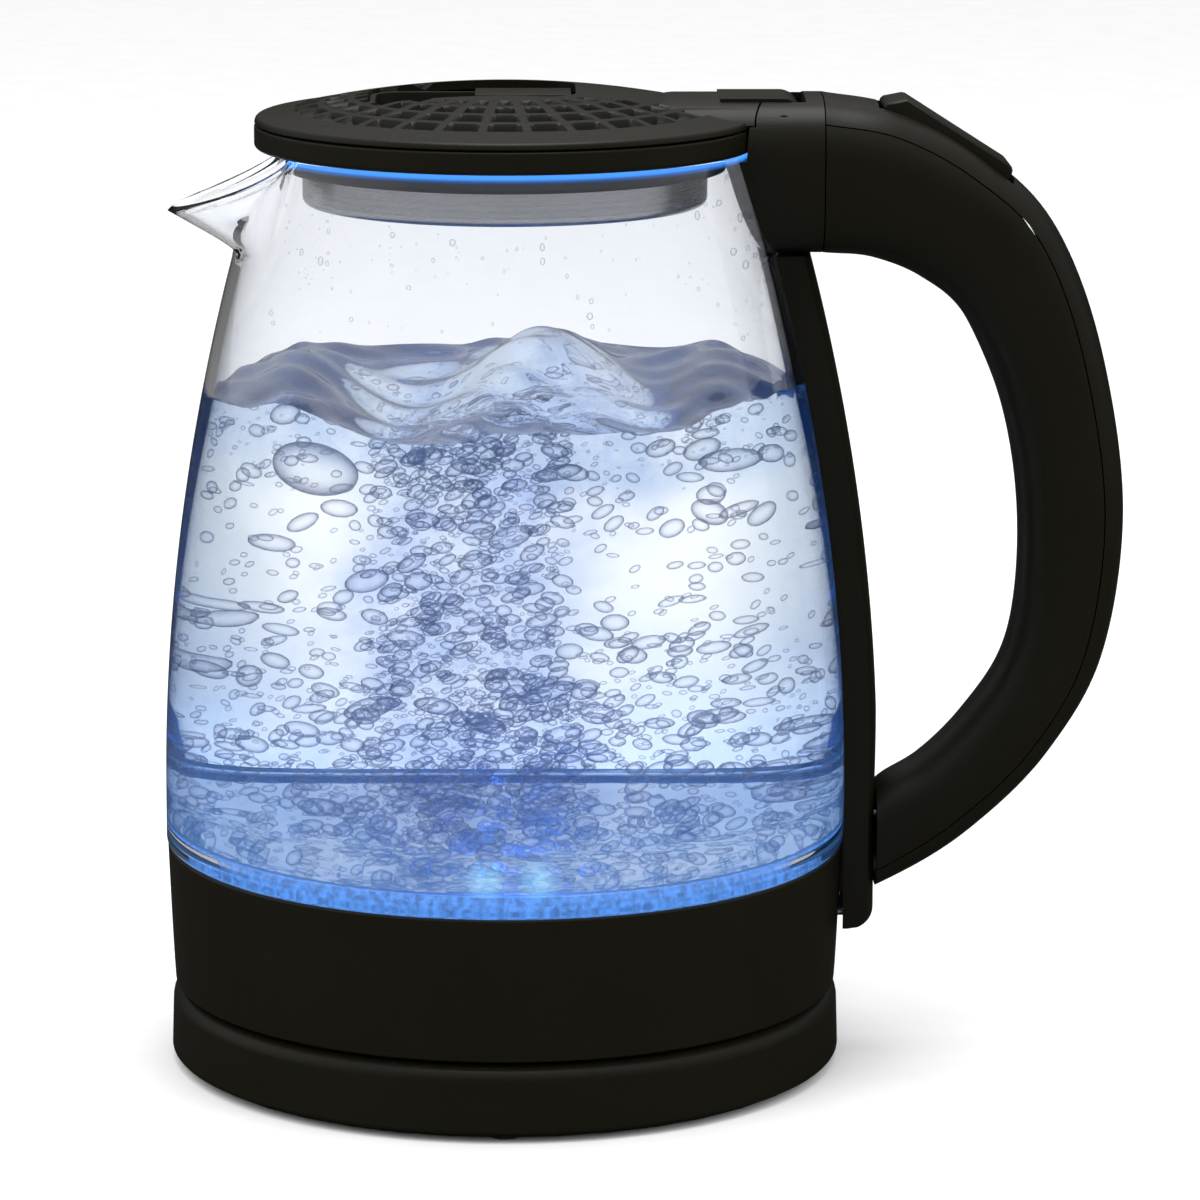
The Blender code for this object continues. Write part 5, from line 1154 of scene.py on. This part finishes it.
def bubbles():
    """Crowds of bubbles: a churn over the plate, a rising column, the open water, those
    close under the surface, and a few large ones near the front."""
    rng = np.random.default_rng(7)

    def crowd(count, reach, low_z, high_z, small, large, lean=1.0, middle=(0.0, 0.0)):
        r = reach[0] + (reach[1] - reach[0]) * np.sqrt(rng.random(count))
        a = rng.random(count) * TURN
        z = low_z + (high_z - low_z) * rng.random(count) ** lean
        size = small + (large - small) * rng.random(count) ** 3
        return np.stack([r * np.cos(a) + middle[0], r * np.sin(a) + middle[1], z], -1), size

    crowds = {
        "churn": crowd(1300, (0, 73 * MM), 58 * MM, 104 * MM, 0.5 * MM, 2.3 * MM, 1.9),
        "column": crowd(1350, (0, 21 * MM), 60 * MM, 156 * MM, 0.4 * MM, 2.0 * MM, 1.1,
                        (-7 * MM, -22 * MM)),
        "open": crowd(700, (25 * MM, 74 * MM), 66 * MM, 158 * MM, 0.7 * MM, 3.0 * MM, 1.2),
        "surface": crowd(700, (10 * MM, 71 * MM), 146 * MM, 168 * MM, 0.3 * MM, 1.6 * MM),
        "large": (np.array(((-44, -48, 116), (-41, -44, 150), (44, -44, 140))) * MM,
                  np.array((9.5, 7.5, 3.6)) * MM),
    }
    finish = bubble_material("bubble", (0.06, 0.10, 0.20))
    for name, (centres, sizes) in crowds.items():
        wall = jar_radius(centres[:, 2]) - JAR_WALL - 0.6 * MM - 1.25 * sizes
        away = np.hypot(centres[:, 0], centres[:, 1])
        below = centres[:, 2] < water_height(centres[:, 0], centres[:, 1]) - sizes
        keep = (away < wall) & below
        centres, sizes = centres[keep] + np.array((AXIS_X, 0, 0)), sizes[keep]
        chance = rng.random((4, len(sizes)))
        squash = np.stack([1.05 + 0.35 * chance[0], 1.05 + 0.15 * chance[1],
                           0.68 + 0.25 * chance[2]], -1)
        steps = (28, 18) if name == "large" else (10, 8)
        balls(f"bubbles_{name}", centres, sizes, squash, 0.7 * chance[3] - 0.25, finish, *steps)


def droplets():
    """Condensation on the inside of the dry glass above the water."""
    rng = np.random.default_rng(11)
    count = 260
    z = 176 * MM + 36 * MM * rng.random(count) ** 0.7
    a = rng.random(count) * TURN
    size = 0.35 * MM + 1.1 * MM * rng.random(count) ** 4
    r = jar_radius(z) - JAR_WALL - 0.55 * size
    away = np.abs((a + TURN) % TURN - math.pi) > SPOUT_HALF_ANGLE
    centres = np.stack([AXIS_X + r * np.cos(a), r * np.sin(a), z], -1)[away]
    size = size[away]
    squash = np.stack([np.ones(len(size)), np.ones(len(size)), 1.0 + 0.8 * rng.random(len(size))], -1)
    # The droplets' rims get the same painted shade as the bubbles'.
    balls("droplets", centres, size * 0.5, squash, 0 * size,
          bubble_material("droplet", (0.16, 0.20, 0.32)), 10, 7)


# ---------------------------------------------------------------- studio

def mirror_only(n):
    """1 for a ray that was mirrored last, less for one that then went through something,
    and 0 for one that only came straight or through."""
    light = n.add("LightPath")
    direct = n.math("SUBTRACT", 1.0, light.outputs["Is Transmission Ray"])
    share = n.math("MAXIMUM", direct, MIRRORED_BEHIND)
    return n.math("MULTIPLY", n.math("MINIMUM", light.outputs["Glossy Depth"], 1.0), share)


def floor():
    """A wide pale floor; mirrored rays see it dimmer, as the dark side of a studio."""
    made, n = blank("floor")
    place = n.add("TexCoord").outputs["Object"]
    paper = n.ramp(n.noise(place, 40.0, 3.0), ((0.3, (0.90, 0.90, 0.90)), (0.7, (0.93, 0.93, 0.93))))
    tone = n.blend(mirror_only(n), paper, (0.04, 0.038, 0.032, 1))
    shader = n.add("BsdfPrincipled", Base_Color=tone, Roughness=0.9, Specular_IOR_Level=0.1)
    output(n, shader.outputs[0])
    span = 12.0
    corners = np.array([[(-span, -span, 0), (span, -span, 0)], [(-span, span, 0), (span, span, 0)]])
    piece = surface("floor", corners, made, wrap=(False, False))
    for face in piece.data.polygons:
        if face.normal.z < 0:
            piece.data.flip_normals()


def world():
    """White all round for what is seen straight or through glass, and a dim studio with a
    bright ceiling and side panels for what the plastic mirrors."""
    made = bpy.data.worlds.new("studio")
    made.use_nodes = True
    made.node_tree.nodes.clear()
    n = Nodes(made.node_tree)
    way = n.add("TexCoord").outputs["Generated"]
    part = n.add("SeparateXYZ", Vector=way)
    ceiling = n.add("MapRange", Value=part.outputs["Z"], From_Min=0.12, From_Max=0.75,
                    To_Min=0.0, To_Max=CEILING).outputs[0]
    left = n.add("MapRange", Value=part.outputs["X"], From_Min=-0.6, From_Max=-0.98,
                 To_Min=0.0, To_Max=LEFT_PANEL).outputs[0]
    right = n.add("MapRange", Value=part.outputs["X"], From_Min=0.75, From_Max=1.0,
                  To_Min=0.0, To_Max=RIGHT_PANEL).outputs[0]
    total = n.math("ADD", n.math("ADD", ceiling, left), n.math("ADD", right, DARK_SIDE))
    by_mirror = mirror_only(n)
    seen = n.math("SUBTRACT", 1.0, by_mirror)
    strength = n.math("ADD", n.math("MULTIPLY", total, by_mirror), seen)
    back = n.add("Background", Color=(1, 1, 1, 1), Strength=strength)
    n.tree.links.new(back.outputs[0], n.add("OutputWorld").inputs["Surface"])
    bpy.context.scene.world = made


def lamp(name, kind, place, power, colour=(1, 1, 1), size=0.5, aim=None, body=None):
    """One lamp; only the overhead one shows in what mirrors it."""
    made = bpy.data.lights.new(name, kind)
    made.energy = power
    made.color = colour
    if kind == "AREA":
        made.shape = "RECTANGLE"
        made.size, made.size_y = size, size * 1.4
    else:
        made.shadow_soft_size = size
    lit = bpy.data.objects.new(name, made)
    bpy.context.scene.collection.objects.link(lit)
    lit.location = place
    lit.visible_transmission = False
    lit.visible_glossy = name == "overhead"
    if aim is not None:
        lit.rotation_euler = (Vector(aim) - Vector(place)).to_track_quat("-Z", "Y").to_euler()
    if body:
        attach(lit, body)
    return lit


def studio():
    world()
    floor()
    middle = (0, 0, 0.12)
    for name, place, power, size in LAMPS:
        lamp(name, "AREA", place, power, size=size, aim=middle)
    for number, (x, y) in enumerate(((-3.8, -66), (7.5, -66), (0, 40)), 1):
        place = (AXIS_X + x * MM, y * MM, HEATER_TOP + 5 * MM)
        lamp(f"blue_{number}", "POINT", place, 0.03, (0.16, 0.42, 1.0), 2 * MM, body="kettle")


def camera():
    """In front of the kettle's axis, a little above it, with a long lens."""
    made = bpy.data.cameras.new("camera")
    made.sensor_width = 36
    made.lens = 163
    made.shift_x = 0.0792
    made.clip_start, made.clip_end = 0.05, 60
    eye = bpy.data.objects.new("camera", made)
    bpy.context.scene.collection.objects.link(eye)
    eye.location = (AXIS_X, -1.270, 0.370)
    eye.rotation_euler = (math.radians(90 - 11.55), 0, 0)
    bpy.context.scene.camera = eye
    bpy.context.scene.view_settings.view_transform = "Standard"
    bpy.context.scene.cycles.transparent_max_bounces = 48
    bpy.context.scene.cycles.max_bounces = 20
    bpy.context.scene.cycles.transmission_bounces = 18


FINISH = finishes()
for node_name, node in frame["nodes"].items():
    node.data.materials.clear()
    node.data.materials.append(FINISH[SLOT_OF[node_name]])

power_base()
lower_body()
light_band()
hot_plate()
jar()
collar()
lid_top()
lid_inside()
steel_cup()
softened("lid_tray", "lid_grip", 0.7 * MM)
rocker_opening(handle())
softened("rocker", "switch_rocker", 0.6 * MM)
strap()
head()
water()
bubbles()
droplets()
studio()
camera()
